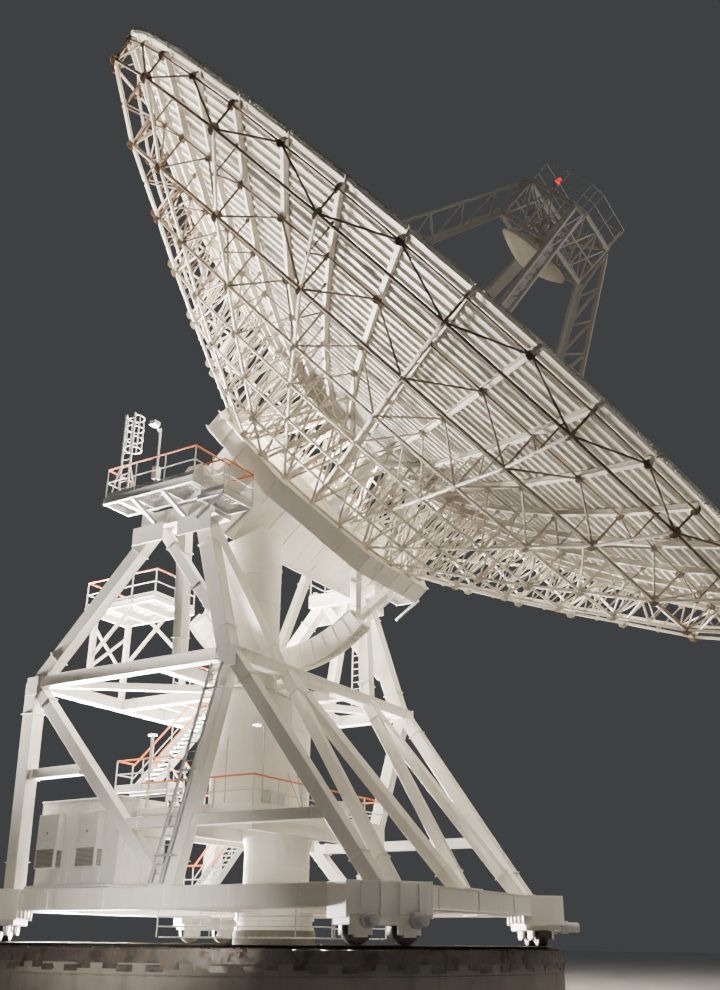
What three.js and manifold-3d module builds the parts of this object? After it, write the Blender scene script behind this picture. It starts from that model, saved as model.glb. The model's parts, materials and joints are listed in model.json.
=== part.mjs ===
// Large steerable radio dish: a wheel-and-track turning frame carries a tipping
// reflector with its lattice back structure, four-legged feed support and sub-reflector.
// Millimetres, +Z up. The origin is where the azimuth axis meets the ground.
// The dish looks towards -Y, and the elevation axis runs along X.
import * as THREE from 'three';
import { mergeVertices } from 'three/addons/utils/BufferGeometryUtils.js';
import Module from 'manifold-3d';

const wasm = await Module();
wasm.setup();

// Driving dimensions, from the ground up.
const GAP = 0.3;
const ELEVATION_DEG = 40.5;
const AXIS_Z = 17700;

const TRACK_R = 9750;
const WALL_IN_R = 8900;
const WALL_OUT_R = 10400;
const WALL_TOP = 1600;
const TRACK_TOP = 1750;
const PIER_TOP = 2200;

const BEAM_Z0 = 2760;
const BEAM_Z1 = 3460;
const BEAM_W = 900;
const CORNER_X = 5800;
const CORNER_Y = 7850;

const RING_Z = 10940;
const RING_X = 6060;
const RING_FRONT = -2130;
const RING_BACK = 7420;
const RING_INNER_X = 2910;
const CHORD = 440;

const HEAD_Z0 = 16300;
const HEAD_Z1 = 16900;
const HEAD_X = 5800;

const DECK_Z0 = 5700;
const DECK_Z1 = 6050;
const DECK_X = 4450;
const DECK_FRONT = -2100;
const DECK_BACK = 3100;
const CABIN_TOP = 6560;
const CENTRAL_R = 1220;
const TUBE_X = -2900;
const TUBE_Y = -300;
const TUBE_R = 1200;
const FLANGE_R = 1380;

const FOCAL = 12200;
const PANEL_BACK_N = 5030;
const PANEL_T = 120;
const RIM_R = 17000;
const HUB_R = 5500;
const HUB_N0 = 1600;
const HUB_N1 = 2400;
const WHEEL_R = 6000;
const WHEEL_DEPTH = 1000;
const PIN_R = 450;
const BORE_R = (PIN_R + GAP) / Math.cos(Math.PI / 24);

// Materials.
const paint = (name, color, roughness, metalness = 0.0) =>
  new THREE.MeshStandardMaterial({ name, color, roughness, metalness });
const LOOK = {
  concrete: paint('concrete', 0x8d8a82, 0.9),
  rail_steel: paint('rail_steel', 0x3d3a36, 0.45, 0.9),
  white_paint: paint('white_paint', 0xdcd8cd, 0.55),
  panel_paint: paint('panel_paint', 0xcfcabf, 0.5),
  truss_paint: paint('truss_paint', 0xd6d0c4, 0.55),
  galvanised: paint('galvanised', 0x9a9c9b, 0.45, 0.8),
  cabin_paint: paint('cabin_paint', 0xb9b7ae, 0.6),
  grey_paint: paint('grey_paint', 0x8f908c, 0.6),
  lamp_glass: paint('lamp_glass', 0xc81e1e, 0.2),
};

// Geometry helpers.
const V = (p) => new THREE.Vector3(p[0], p[1], p[2]);

function toSolid(geometry) {
  const bare = geometry.clone();
  bare.deleteAttribute('normal');
  bare.deleteAttribute('uv');
  const merged = mergeVertices(bare, 1e-3);
  return new wasm.Manifold(new wasm.Mesh({
    numProp: 3,
    vertProperties: new Float32Array(merged.attributes.position.array),
    triVerts: new Uint32Array(merged.index.array),
  }));
}

// Corners closer than the tolerance become one, and triangles left without area go.
function welded(positions, triangles, tolerance) {
  const kept = [];
  const renumber = [];
  for (let i = 0; i < positions.length; i += 3) {
    const p = [positions[i], positions[i + 1], positions[i + 2]];
    let match = kept.findIndex((q) =>
      Math.abs(q[0] - p[0]) < tolerance && Math.abs(q[1] - p[1]) < tolerance
      && Math.abs(q[2] - p[2]) < tolerance);
    if (match < 0) {
      match = kept.length;
      kept.push(p);
    }
    renumber.push(match);
  }
  const index = [];
  for (let i = 0; i < triangles.length; i += 3) {
    const a = renumber[triangles[i]];
    const b = renumber[triangles[i + 1]];
    const c = renumber[triangles[i + 2]];
    if (a !== b && b !== c && c !== a) {
      index.push(a, b, c);
    }
  }
  return { kept, index };
}

function toGeometry(solid) {
  const mesh = solid.getMesh();
  const { kept, index } = welded(mesh.vertProperties, mesh.triVerts, 0.2);
  const geometry = new THREE.BufferGeometry();
  geometry.setAttribute('position', new THREE.Float32BufferAttribute(kept.flat(), 3));
  geometry.setIndex(index);
  geometry.computeVertexNormals();
  return geometry;
}

// A straight box bar from a to b: w across, h in the direction nearest to up.
function bar(a, b, w, h = w, up = [0, 0, 1]) {
  const from = V(a);
  const to = V(b);
  const dir = to.clone().sub(from);
  const length = dir.length();
  dir.normalize();
  const side = new THREE.Vector3().crossVectors(V(up), dir).normalize();
  const top = new THREE.Vector3().crossVectors(dir, side);
  const geometry = new THREE.BoxGeometry(w, h, length);
  const middle = from.clone().add(to).multiplyScalar(0.5);
  geometry.applyMatrix4(new THREE.Matrix4().makeBasis(side, top, dir).setPosition(middle));
  return geometry;
}

function block(x0, x1, y0, y1, z0, z1) {
  const geometry = new THREE.BoxGeometry(x1 - x0, y1 - y0, z1 - z0);
  geometry.translate((x0 + x1) / 2, (y0 + y1) / 2, (z0 + z1) / 2);
  return geometry;
}

// An upright prism of the given outline between two heights.
function prism(outline, z0, z1, holes = []) {
  const shape = new THREE.Shape(outline.map((p) => new THREE.Vector2(p[0], p[1])));
  for (const hole of holes) {
    shape.holes.push(new THREE.Path(hole.map((p) => new THREE.Vector2(p[0], p[1]))));
  }
  const geometry = new THREE.ExtrudeGeometry(shape, { depth: z1 - z0, bevelEnabled: false });
  geometry.translate(0, 0, z0);
  return geometry;
}

// A turned piece about the Z axis from a closed profile of [radius, height] pairs.
function turned(profile, segments, phase = 0) {
  const points = profile.map((p) => new THREE.Vector2(p[0], p[1]));
  const geometry = new THREE.LatheGeometry(points, segments);
  geometry.rotateX(Math.PI / 2);
  geometry.rotateZ(phase);
  return geometry;
}

// A round rod along X, turned about its own axis by the given angle in degrees.
function rodX(x0, x1, y, z, radius, segments, turn = 0) {
  const geometry = new THREE.CylinderGeometry(radius, radius, x1 - x0, segments);
  geometry.rotateZ(Math.PI / 2);
  geometry.rotateX(THREE.MathUtils.degToRad(turn));
  geometry.translate((x0 + x1) / 2, y, z);
  return geometry;
}

function joined(pieces) {
  let solid = null;
  for (const piece of pieces) {
    const next = piece instanceof wasm.Manifold ? piece : toSolid(piece);
    solid = solid ? solid.add(next) : next;
  }
  return solid;
}

function cutBy(solid, cutters) {
  let result = solid;
  for (const cutter of cutters) {
    result = result.subtract(cutter instanceof wasm.Manifold ? cutter : toSolid(cutter));
  }
  return result;
}

function addMesh(parent, name, shape, material) {
  const geometry = shape instanceof wasm.Manifold ? toGeometry(shape) : shape;
  const mesh = new THREE.Mesh(geometry, material.clone());
  mesh.name = name;
  parent.add(mesh);
  return mesh;
}

function mirrored(p, sign) {
  return [p[0] * sign, p[1], p[2]];
}

const group = new THREE.Group();

// Foundation: a round pier inside a ring wall that carries the track.
const pedestalProfile = [
  [0, 0], [WALL_OUT_R, 0], [WALL_OUT_R, WALL_TOP], [WALL_IN_R, WALL_TOP],
  [WALL_IN_R, 300], [1500, 300], [1500, PIER_TOP], [0, PIER_TOP],
];
addMesh(group, 'pedestal', turned(pedestalProfile, 32), LOOK.concrete);

const trackProfile = [
  [TRACK_R - 400, WALL_TOP + GAP], [TRACK_R + 400, WALL_TOP + GAP],
  [TRACK_R + 400, TRACK_TOP], [TRACK_R - 400, TRACK_TOP], [TRACK_R - 400, WALL_TOP + GAP],
];
addMesh(group, 'azimuth_track', turned(trackProfile, 32), LOOK.rail_steel);

// Turning frame.
const alidade = new THREE.Group();
group.add(alidade);

// Wheel trucks stand under the four corners, square to the track.
const truckAngle = Math.atan2(CORNER_Y, CORNER_X);
const TRUCK_LENGTH = 2600;
const TRUCK_WIDTH = 1500;
const WHEEL_RADIUS = 450;

function truckAt(angle, grow) {
  const body = block(
    TRACK_R - TRUCK_WIDTH / 2 - grow, TRACK_R + TRUCK_WIDTH / 2 + grow,
    -TRUCK_LENGTH / 2 - grow, TRUCK_LENGTH / 2 + grow,
    2050 - grow, BEAM_Z1 + grow,
  );
  const pieces = [body];
  if (grow === 0) {
    for (const y of [-750, 750]) {
      const rim = new THREE.CylinderGeometry(WHEEL_RADIUS, WHEEL_RADIUS, 360, 20);
      rim.rotateZ(Math.PI / 2);
      rim.translate(TRACK_R, y, TRACK_TOP + GAP + WHEEL_RADIUS);
      pieces.push(rim);
    }
  }
  return joined(pieces.map((piece) => piece.rotateZ(angle)));
}

const truckAngles = {
  front_left: Math.PI + truckAngle,
  front_right: -truckAngle,
  back_left: Math.PI - truckAngle,
  back_right: truckAngle,
};
for (const [place, angle] of Object.entries(truckAngles)) {
  addMesh(alidade, `wheel_truck_${place}`, truckAt(angle, 0), LOOK.white_paint);
}
const truckCutters = Object.values(truckAngles).map((angle) => truckAt(angle, GAP));

for (const [side, sign] of [['left', -1], ['right', 1]]) {
  const x = sign * CORNER_X;
  const beam = block(x - BEAM_W / 2, x + BEAM_W / 2, -CORNER_Y, CORNER_Y, BEAM_Z0, BEAM_Z1);
  addMesh(alidade, `base_beam_${side}`, cutBy(toSolid(beam), truckCutters), LOOK.white_paint);
}
const SIDE_INNER = CORNER_X - BEAM_W / 2 - GAP;
for (const [end, sign] of [['front', -1], ['back', 1]]) {
  const y = sign * CORNER_Y;
  const beam = block(-SIDE_INNER, SIDE_INNER, y - BEAM_W / 2, y + BEAM_W / 2, BEAM_Z0, BEAM_Z1);
  addMesh(alidade, `base_beam_${end}`, cutBy(toSolid(beam), truckCutters), LOOK.white_paint);
}

// Four spokes meet at the centre bearing, which turns on the pier.
const END_INNER = CORNER_Y - BEAM_W / 2 - GAP;
const baseCross = joined([
  block(-SIDE_INNER, SIDE_INNER, -400, 400, BEAM_Z0, 3360),
  block(-400, 400, -END_INNER, END_INNER, BEAM_Z0, 3360),
  turned([[0, PIER_TOP + GAP], [1450, PIER_TOP + GAP], [1450, BEAM_Z1], [0, BEAM_Z1]], 24),
]);
addMesh(alidade, 'base_cross', baseCross, LOOK.white_paint);

// Side frames: back post, diagonal to the middle landing and two front legs.
const LAND = BEAM_Z1 + GAP;
function sideChord(sign, grow) {
  return block(
    sign * RING_X - CHORD / 2 - grow, sign * RING_X + CHORD / 2 + grow,
    RING_FRONT - CHORD / 2 - grow, RING_BACK + CHORD / 2 + grow,
    RING_Z - CHORD / 2 - grow, RING_Z + CHORD / 2 + grow,
  );
}
function endChord(y, grow) {
  return block(
    -RING_X + CHORD / 2 + GAP - grow, RING_X - CHORD / 2 - GAP + grow,
    y - CHORD / 2 - grow, y + CHORD / 2 + grow,
    RING_Z - CHORD / 2 - grow, RING_Z + CHORD / 2 + grow,
  );
}
const below = block(-12000, 12000, -12000, 12000, 1000, LAND);

function sideFrame(sign, grow) {
  const g = 2 * grow;
  const corner = [sign * RING_X, RING_BACK, RING_Z];
  const front = [sign * RING_X, RING_FRONT, RING_Z];
  const backFoot = [sign * 5560, 7700, 3300];
  const middleFoot = [sign * 5920, 0, 3200];
  const frontFoot = [sign * 5560, -7700, 3300];
  const outer = [1, 0, 0];
  const pieces = [
    bar(corner, backFoot, 550 + g, 550 + g, outer),
    bar(corner, middleFoot, 440 + g, 440 + g, outer),
    bar(front, middleFoot, 480 + g, 480 + g, outer),
    bar(front, frontFoot, 480 + g, 470 + g, outer),
    bar([sign * 5850, 7560, 7500], [sign * 5980, 3960, 7500], 360 + g, 360 + g),
    bar([sign * 5930, 2050, 5500], [sign * 5700, -5950, 5500], 400 + g, 360 + g),
  ];
  return cutBy(joined(pieces), [
    below, sideChord(sign, GAP), endChord(RING_FRONT, GAP), endChord(RING_BACK, GAP),
  ]);
}
for (const [side, sign] of [['left', -1], ['right', 1]]) {
  addMesh(alidade, `side_frame_${side}`, sideFrame(sign, 0), LOOK.white_paint);
}

// Front legs drop from the inner ring nodes to the corners and the front middle.
const frontPieces = [];
for (const sign of [-1, 1]) {
  const node = [sign * RING_INNER_X, RING_FRONT, RING_Z];
  frontPieces.push(bar(node, [sign * 4700, -7800, 3300], 380, 380, [0, 1, 0]));
  frontPieces.push(bar(node, [sign * 150, -7830, 3200], 400, 400, [0, 1, 0]));
}
frontPieces.push(block(-480, 480, -7860, -7440, LAND, LAND + 120));
const frontLegs = cutBy(joined(frontPieces), [below, endChord(RING_FRONT, GAP)]);
addMesh(alidade, 'front_legs', frontLegs, LOOK.white_paint);

for (const [side, sign] of [['left', -1], ['right', 1]]) {
  addMesh(alidade, `ring_beam_${side}`, toSolid(sideChord(sign, 0)), LOOK.white_paint);
}
addMesh(alidade, 'ring_beam_front', toSolid(endChord(RING_FRONT, 0)), LOOK.white_paint);
addMesh(alidade, 'ring_beam_back', toSolid(endChord(RING_BACK, 0)), LOOK.white_paint);

// Inner floor grid of the ring.
const GRID_X = RING_X - CHORD / 2 - GAP;
const GRID_Y0 = RING_FRONT + CHORD / 2 + GAP;
const GRID_Y1 = RING_BACK - CHORD / 2 - GAP;
const GRID_Z0 = RING_Z - CHORD / 2;
const GRID_Z1 = RING_Z + CHORD / 2;
const ringGrid = joined([
  block(-GRID_X, GRID_X, 950, 1350, GRID_Z0, GRID_Z1),
  block(-1500, -1100, GRID_Y0, GRID_Y1, GRID_Z0, GRID_Z1),
  block(1100, 1500, GRID_Y0, GRID_Y1, GRID_Z0, GRID_Z1),
  block(-1300, 1300, -700, -300, GRID_Z0, GRID_Z1),
]);
addMesh(alidade, 'ring_grid', ringGrid, LOOK.white_paint);

// Tower heads and the legs that carry them.
const RING_TOP = RING_Z + CHORD / 2 + GAP;
function tower(sign) {
  const m = (p) => mirrored(p, sign);
  const pieces = [
    block(sign * HEAD_X - 500, sign * HEAD_X + 500, -1100, 2500, HEAD_Z0, HEAD_Z1),
    bar(m([5800, 2000, 16500]), m([6060, 7250, 10900]), 500, 480, [1, 0, 0]),
    bar(m([5800, -250, 16500]), m([6060, -2030, 10700]), 620, 520, [1, 0, 0]),
    bar(m([5750, -250, 16500]), m([3010, -2130, 10700]), 480, 460, [0, 1, 0]),
    bar(m([5800, 1900, 16500]), m([6000, -1100, 12700]), 380, 380, [1, 0, 0]),
    bar(m([5800, 700, 16500]), m([5000, 1150, 10900]), 420, 400, [0, 1, 0]),
  ];
  const sunk = block(-12000, 12000, -12000, 12000, 9000, RING_TOP);
  return cutBy(joined(pieces), [sunk]);
}
for (const [side, sign] of [['left', -1], ['right', 1]]) {
  addMesh(alidade, `tower_${side}`, tower(sign), LOOK.white_paint);
}

// Elevation bearing blocks, bored for the trunnions.
const BEARING_X0 = 5400;
const BEARING_X1 = 6300;
for (const [side, sign] of [['left', -1], ['right', 1]]) {
  const x0 = Math.min(sign * BEARING_X0, sign * BEARING_X1);
  const x1 = Math.max(sign * BEARING_X0, sign * BEARING_X1);
  const outline = [
    [-950, HEAD_Z1 + GAP], [950, HEAD_Z1 + GAP], [950, 17300], [750, AXIS_Z + 300],
    [350, AXIS_Z + 780], [-350, AXIS_Z + 780], [-750, AXIS_Z + 300], [-950, 17300],
  ];
  const housing = prism(outline, 0, x1 - x0);
  housing.rotateX(Math.PI / 2);
  housing.rotateZ(Math.PI / 2);
  housing.translate(x0, 0, 0);
  const bore = rodX(x0 - 100, x1 + 100, 0, AXIS_Z, BORE_R, 24, 90 - ELEVATION_DEG + 7.5);
  addMesh(alidade, `elevation_bearing_${side}`, cutBy(toSolid(housing), [bore]), LOOK.white_paint);
}

// Platforms beside the bearings, with guard rails.
function railing(points, z0, height, post) {
  const pieces = [];
  for (const level of [0.5, 1]) {
    for (let i = 0; i + 1 < points.length; i += 1) {
      const a = points[i];
      const b = points[i + 1];
      const z = z0 + height * level;
      const dx = b[0] - a[0];
      const dy = b[1] - a[1];
      const reach = post / 2 / Math.hypot(dx, dy);
      pieces.push(bar(
        [a[0] - dx * reach, a[1] - dy * reach, z], [b[0] + dx * reach, b[1] + dy * reach, z],
        post, post,
      ));
    }
  }
  for (const p of points) {
    pieces.push(block(
      p[0] - post / 2, p[0] + post / 2, p[1] - post / 2, p[1] + post / 2, z0 - 20, z0 + height,
    ));
  }
  return pieces;
}

for (const [side, sign] of [['left', -1], ['right', 1]]) {
  const s = (x0, x1, y0, y1, z0, z1) =>
    block(Math.min(sign * x0, sign * x1), Math.max(sign * x0, sign * x1), y0, y1, z0, z1);
  const pieces = [
    s(6350, 7700, -1200, 3200, 17120, 17300),
    s(6350, 6550, -1200, 3200, HEAD_Z1 + GAP, 17200),
    s(5500, 7700, 2300, 2480, HEAD_Z1 + GAP, 17200),
    s(5500, 7700, -1080, -980, HEAD_Z1 + GAP, 17200),
  ];
  const x = sign * 7660;
  pieces.push(...railing(
    [[sign * 6400, 3160], [x, 3160], [x, 1000], [x, -1160], [sign * 6400, -1160]],
    17300, 1150, 60,
  ));
  addMesh(alidade, `bearing_platform_${side}`, joined(pieces), LOOK.galvanised);
}

// Central tube, lower deck, drum and offset upper tube.
const centralTube = turned(
  [[0, LAND], [CENTRAL_R, LAND], [CENTRAL_R, DECK_Z0 - GAP], [0, DECK_Z0 - GAP]], 28,
);
addMesh(alidade, 'central_tube', centralTube, LOOK.white_paint);

const deckPieces = [block(-DECK_X, DECK_X, DECK_FRONT, DECK_BACK, DECK_Z0, DECK_Z1)];
for (const y of [DECK_FRONT, 1250, DECK_BACK - 280]) {
  deckPieces.push(block(-DECK_X, DECK_X, y, y + 280, 5280, DECK_Z0 + 50));
}
deckPieces.push(...railing(
  [[-4410, 3060], [-4410, 500], [-4410, -2060], [0, -2060], [4410, -2060], [4410, 500],
    [4410, 3060]],
  DECK_Z1, 1050, 60,
));
deckPieces.push(...railing([[2480, 3060], [300, 3060], [-1800, 3060]], DECK_Z1, 1050, 60));
addMesh(alidade, 'lower_deck', joined(deckPieces), LOOK.galvanised);

const drumOutline = [];
const DRUM_R = 1250;
for (let i = 0; i <= 10; i += 1) {
  const angle = Math.PI / 2 + (i / 10) * Math.PI + 0.18;
  drumOutline.push([-2450 + DRUM_R * Math.cos(angle), -150 + DRUM_R * Math.sin(angle)]);
}
for (let i = 0; i <= 10; i += 1) {
  const angle = -Math.PI / 2 + (i / 10) * Math.PI + 0.18;
  drumOutline.push([-200 + DRUM_R * Math.cos(angle), DRUM_R * Math.sin(angle)]);
}
const drum = prism(drumOutline, DECK_Z1 + GAP, 10400 - GAP);
addMesh(alidade, 'waveguide_drum', drum, LOOK.white_paint);

const tubeBody = turned([
  [0, 10400], [TUBE_R, 10400], [TUBE_R, RING_TOP], [FLANGE_R, RING_TOP],
  [FLANGE_R, 11550], [TUBE_R, 11700], [TUBE_R, 16600], [0, 16600],
], 20);
tubeBody.translate(TUBE_X, TUBE_Y, 0);
const swept = rodX(TUBE_X - 2000, TUBE_X + 2000, 0, AXIS_Z, 1660, 20);
addMesh(alidade, 'waveguide_tube', cutBy(toSolid(tubeBody), [swept]), LOOK.white_paint);

// Equipment cabin on its floor, with two wall cooling units.
const cabin = joined([
  block(-5650, -2500, 3050, 7150, LAND, 3600),
  block(-5200, -2800, 3150, 7100, 3550, CABIN_TOP),
]);
addMesh(alidade, 'equipment_cabin', cabin, LOOK.cabin_paint);
for (const [number, y] of [[1, 5830], [2, 3840]]) {
  const unit = block(-5600, -5200 - GAP, y, y + 1000, 4180, 6030);
  addMesh(alidade, `cooling_unit_${number}`, unit, LOOK.grey_paint);
}

// Ladder up the left middle leg.
const ladderPieces = [];
const ladderAt = (t, y) => [-6560, y - 2000 * t, 3520 + 7000 * t];
for (const y of [-120, 330]) {
  ladderPieces.push(bar(ladderAt(0, y), ladderAt(1, y), 70, 90, [1, 0, 0]));
}
for (let i = 1; i < 14; i += 1) {
  const a = ladderAt(i / 14, -120);
  const b = ladderAt(i / 14, 330);
  ladderPieces.push(bar(a, b, 40));
}
for (const t of [0.12, 0.5, 0.88]) {
  const a = ladderAt(t, 100);
  ladderPieces.push(bar([-6200, a[1], a[2]], a, 60));
}
for (const t of [0.12, 0.5, 0.88]) {
  ladderPieces.push(bar(ladderAt(t, -150), ladderAt(t, 360), 60));
}
const ladderSolid = cutBy(joined(ladderPieces), [sideFrame(-1, GAP), sideChord(-1, GAP)]);
addMesh(alidade, 'leg_ladder', ladderSolid, LOOK.galvanised);

// Caged ladder that stands on the left platform.
const cagePieces = [];
for (const y of [2250, 2700]) {
  cagePieces.push(block(-7520, -7450, y - 35, y + 35, 17300 + GAP, 20800));
}
for (let i = 1; i <= 9; i += 1) {
  const z = 17300 + i * 360;
  cagePieces.push(block(-7505, -7465, 2250, 2700, z - 20, z + 20));
}
for (const z of [19600, 20200, 20740]) {
  cagePieces.push(block(-7510, -6850, 2215, 2265, z - 30, z + 30));
  cagePieces.push(block(-7510, -6850, 2685, 2735, z - 30, z + 30));
  cagePieces.push(block(-6890, -6840, 2215, 2735, z - 30, z + 30));
}
cagePieces.push(block(-6880, -6850, 2450, 2500, 19580, 20760));
addMesh(alidade, 'cage_ladder', joined(cagePieces), LOOK.galvanised);

// Stairs behind the tubes and the rear walkway. Each flight climbs along X.
function stair(y0, y1, x0, z0, x1, z1, treads) {
  const pieces = [];
  for (const y of [y0, y1]) {
    pieces.push(bar([x0, y, z0], [x1, y, z1], 60, 260));
  }
  for (let i = 1; i < treads; i += 1) {
    const t = i / treads;
    const x = x0 + (x1 - x0) * t;
    const z = z0 + (z1 - z0) * t;
    pieces.push(block(x - 110, x + 110, y0, y1, z - 20, z + 20));
  }
  return pieces;
}
const deckCutter = block(
  -DECK_X, DECK_X, DECK_FRONT, DECK_BACK + GAP, DECK_Z0 - 500, DECK_Z1 + GAP,
);
const SPOKE_TOP = BEAM_Z1 - 100;
const lowerStair = cutBy(joined([
  block(-440, 440, 3170, 4130, SPOKE_TOP + GAP, BEAM_Z1),
  ...stair(3200, 4100, 50, BEAM_Z1 - 60, 2620, DECK_Z1 - 60, 10),
  block(2520, 3500, DECK_BACK + GAP, 4130, DECK_Z1 - 100, DECK_Z1),
]), [block(-6000, 6000, 3000, 5000, 2000, SPOKE_TOP + GAP)]);
addMesh(alidade, 'lower_stair', lowerStair, LOOK.galvanised);

const STAIR_LANDING = 7030;
const gridCutter = block(1100 - GAP, 2000, 3000, 5000, 10000, 12000);
const upperStair = cutBy(joined([
  ...stair(2150, 2950, -1850, DECK_Z1 - 40, -3150, STAIR_LANDING - 60, 5),
  block(-4000, -3100, 2120, 4780, STAIR_LANDING - 100, STAIR_LANDING),
  block(-3980, -3900, 2140, 2220, DECK_Z1 + GAP, STAIR_LANDING),
  block(-3980, -3900, 4680, 4760, CABIN_TOP + GAP, STAIR_LANDING),
  ...stair(3850, 4750, -3150, STAIR_LANDING - 60, 1120, 11060, 17),
]), [deckCutter, gridCutter]);
addMesh(alidade, 'upper_stair', upperStair, LOOK.galvanised);

const walkPieces = [
  block(-3700, -1200, 3900, 7800, 14500, 14700),
  block(-3500, -3300, 7320, 7520, RING_TOP, 14600),
  block(-1500, -1300, 7320, 7520, RING_TOP, 14600),
  block(-1400, -1200, 4100, 4300, RING_TOP, 14600),
];
walkPieces.push(...railing(
  [[-1240, 7760], [-3660, 7760], [-3660, 5850], [-3660, 3940], [-1240, 3940]], 14700, 1100, 60,
));
addMesh(alidade, 'rear_walkway', joined(walkPieces), LOOK.white_paint);

addMesh(alidade, 'elevation_drive', joined([
  block(-700, 700, -680, 380, RING_TOP, 11500),
  block(-420, 420, -450, 250, 11450, 11660),
]), LOOK.grey_paint);

// Tipping part, built looking along +Z and tilted to the shown elevation.
const reflector = new THREE.Group();
reflector.position.set(0, 0, AXIS_Z);
reflector.rotation.x = THREE.MathUtils.degToRad(90 - ELEVATION_DEG);
group.add(reflector);

const backN = (r) => PANEL_BACK_N + (r * r) / (4 * FOCAL);
const polar = (r, deg, n) => {
  const a = THREE.MathUtils.degToRad(deg);
  return [r * Math.cos(a), r * Math.sin(a), n];
};

// Elevation girder with a trunnion at each end.
const girder = joined([
  block(-5200, 5200, -1150, 1150, -900, HUB_N0 - GAP),
  rodX(-6320, 6320, 0, 0, PIN_R, 24),
]);
addMesh(reflector, 'elevation_girder', girder, LOOK.white_paint);

// Octagonal ring with two cross beams, on top of the girder.
function octagon(apothem) {
  const points = [];
  for (let i = 0; i < 8; i += 1) {
    const p = polar(apothem / Math.cos(Math.PI / 8), 22.5 + 45 * i, 0);
    points.push([p[0], p[1]]);
  }
  return points;
}
const hubPieces = [
  prism(octagon(HUB_R), HUB_N0, HUB_N1, [octagon(HUB_R - 900).reverse()]),
  block(-1800, -1400, -4800, 4800, HUB_N0, HUB_N1),
  block(1400, 1800, -4800, 4800, HUB_N0, HUB_N1),
];
addMesh(reflector, 'hub_ring', joined(hubPieces), LOOK.white_paint);

// Elevation wheel: a curved box girder with struts to the girder and hub ring.
const arcOutline = [];
for (let i = 0; i <= 12; i += 1) {
  const a = THREE.MathUtils.degToRad(-180 + i * 8);
  arcOutline.push([WHEEL_R * Math.cos(a), WHEEL_R * Math.sin(a)]);
}
for (let i = 12; i >= 0; i -= 1) {
  const a = THREE.MathUtils.degToRad(-180 + i * 8);
  const r = WHEEL_R - WHEEL_DEPTH;
  arcOutline.push([r * Math.cos(a), r * Math.sin(a)]);
}
const arc = prism(arcOutline, -330, 330);
arc.rotateY(Math.PI / 2);
arc.rotateX(Math.PI / 2);
const wheelPieces = [arc];
const wheelAt = (deg, r) => {
  const a = THREE.MathUtils.degToRad(deg);
  return [0, r * Math.cos(a), r * Math.sin(a)];
};
for (const sign of [-1, 1]) {
  const x = sign * 1500;
  wheelPieces.push(bar(wheelAt(-178, 5400), [x, -4700, HUB_N0 + 100], 320, 320, [1, 0, 0]));
  wheelPieces.push(bar(wheelAt(-135, 5300), [x, -900, -700], 320, 320, [1, 0, 0]));
  wheelPieces.push(bar(wheelAt(-90, 5300), [x, 700, -700], 320, 320, [1, 0, 0]));
  wheelPieces.push(bar(wheelAt(-88, 5300), [x, 4700, HUB_N0 + 100], 320, 320, [1, 0, 0]));
}
const wheel = cutBy(joined(wheelPieces), [
  block(-5200, 5200, -1150 - GAP, 1150 + GAP, -900 - GAP, HUB_N0 + 1000),
  block(-7000, 7000, -7000, 7000, HUB_N0 - GAP, HUB_N0 + 1500),
]);
addMesh(reflector, 'elevation_wheel', wheel, LOOK.white_paint);

// Ribs: each is a flat truss in a plane through the boresight axis.
const STATIONS = [2700, 5200, 8200, 11200, 14200, 17000];
const NODE_BACK = [16950, 9750];
const NODE_THIRD = [14850, 8030];
const NODE_FOURTH = [10000, 5080];
const NODE_FOOT = [5300, HUB_N1 + GAP];
const RIB_T = 160;

function inset(points, distance) {
  const count = points.length;
  let area = 0;
  for (let i = 0; i < count; i += 1) {
    const a = points[i];
    const b = points[(i + 1) % count];
    area += a[0] * b[1] - b[0] * a[1];
  }
  const turn = Math.sign(area);
  const lines = [];
  for (let i = 0; i < count; i += 1) {
    const a = points[i];
    const b = points[(i + 1) % count];
    const dx = b[0] - a[0];
    const dy = b[1] - a[1];
    const length = Math.hypot(dx, dy);
    const nx = (-dy / length) * turn;
    const ny = (dx / length) * turn;
    lines.push({ x: a[0] + nx * distance, y: a[1] + ny * distance, dx, dy });
  }
  const result = [];
  for (let i = 0; i < count; i += 1) {
    const p = lines[(i + count - 1) % count];
    const q = lines[i];
    const cross = p.dx * q.dy - p.dy * q.dx;
    const t = ((q.x - p.x) * q.dy - (q.y - p.y) * q.dx) / cross;
    result.push([p.x + p.dx * t, p.y + p.dy * t]);
  }
  return result;
}

const top = (r) => [r, backN(r) - GAP];
const ribOutline = [
  ...STATIONS.map(top),
  NODE_BACK, NODE_THIRD, NODE_FOURTH, [NODE_FOOT[0] + 350, NODE_FOOT[1]], NODE_FOOT,
  [2700, backN(2700) - 350],
];
const HALF = 85;
const ribHoles = [
  [top(5200), top(2700), [2700, backN(2700) - 350], NODE_FOOT],
  [top(5200), NODE_FOOT, [NODE_FOOT[0] + 350, NODE_FOOT[1]], NODE_FOURTH, top(8200)],
  [top(8200), NODE_FOURTH, top(11200)],
  [top(11200), NODE_FOURTH, NODE_THIRD, top(14200)],
  [top(14200), NODE_THIRD, NODE_BACK, top(17000)],
].map((hole) => inset(hole, HALF * 1.4));

function rib(deg) {
  const plate = prism(ribOutline, -RIB_T / 2, RIB_T / 2, ribHoles);
  plate.rotateX(Math.PI / 2);
  plate.rotateZ(THREE.MathUtils.degToRad(deg));
  return plate;
}

function quadrantWedge(q) {
  const trim = 0.5;
  const a = polar(trim, q * 90 + 45, 0);
  const corner = (deg) => {
    const p = polar(30000, deg, 0);
    return [p[0] + a[0], p[1] + a[1]];
  };
  const outline = [[a[0], a[1]], corner(q * 90), corner(q * 90 + 45), corner(q * 90 + 90)];
  return prism(outline, -2000, 20000);
}

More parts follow.
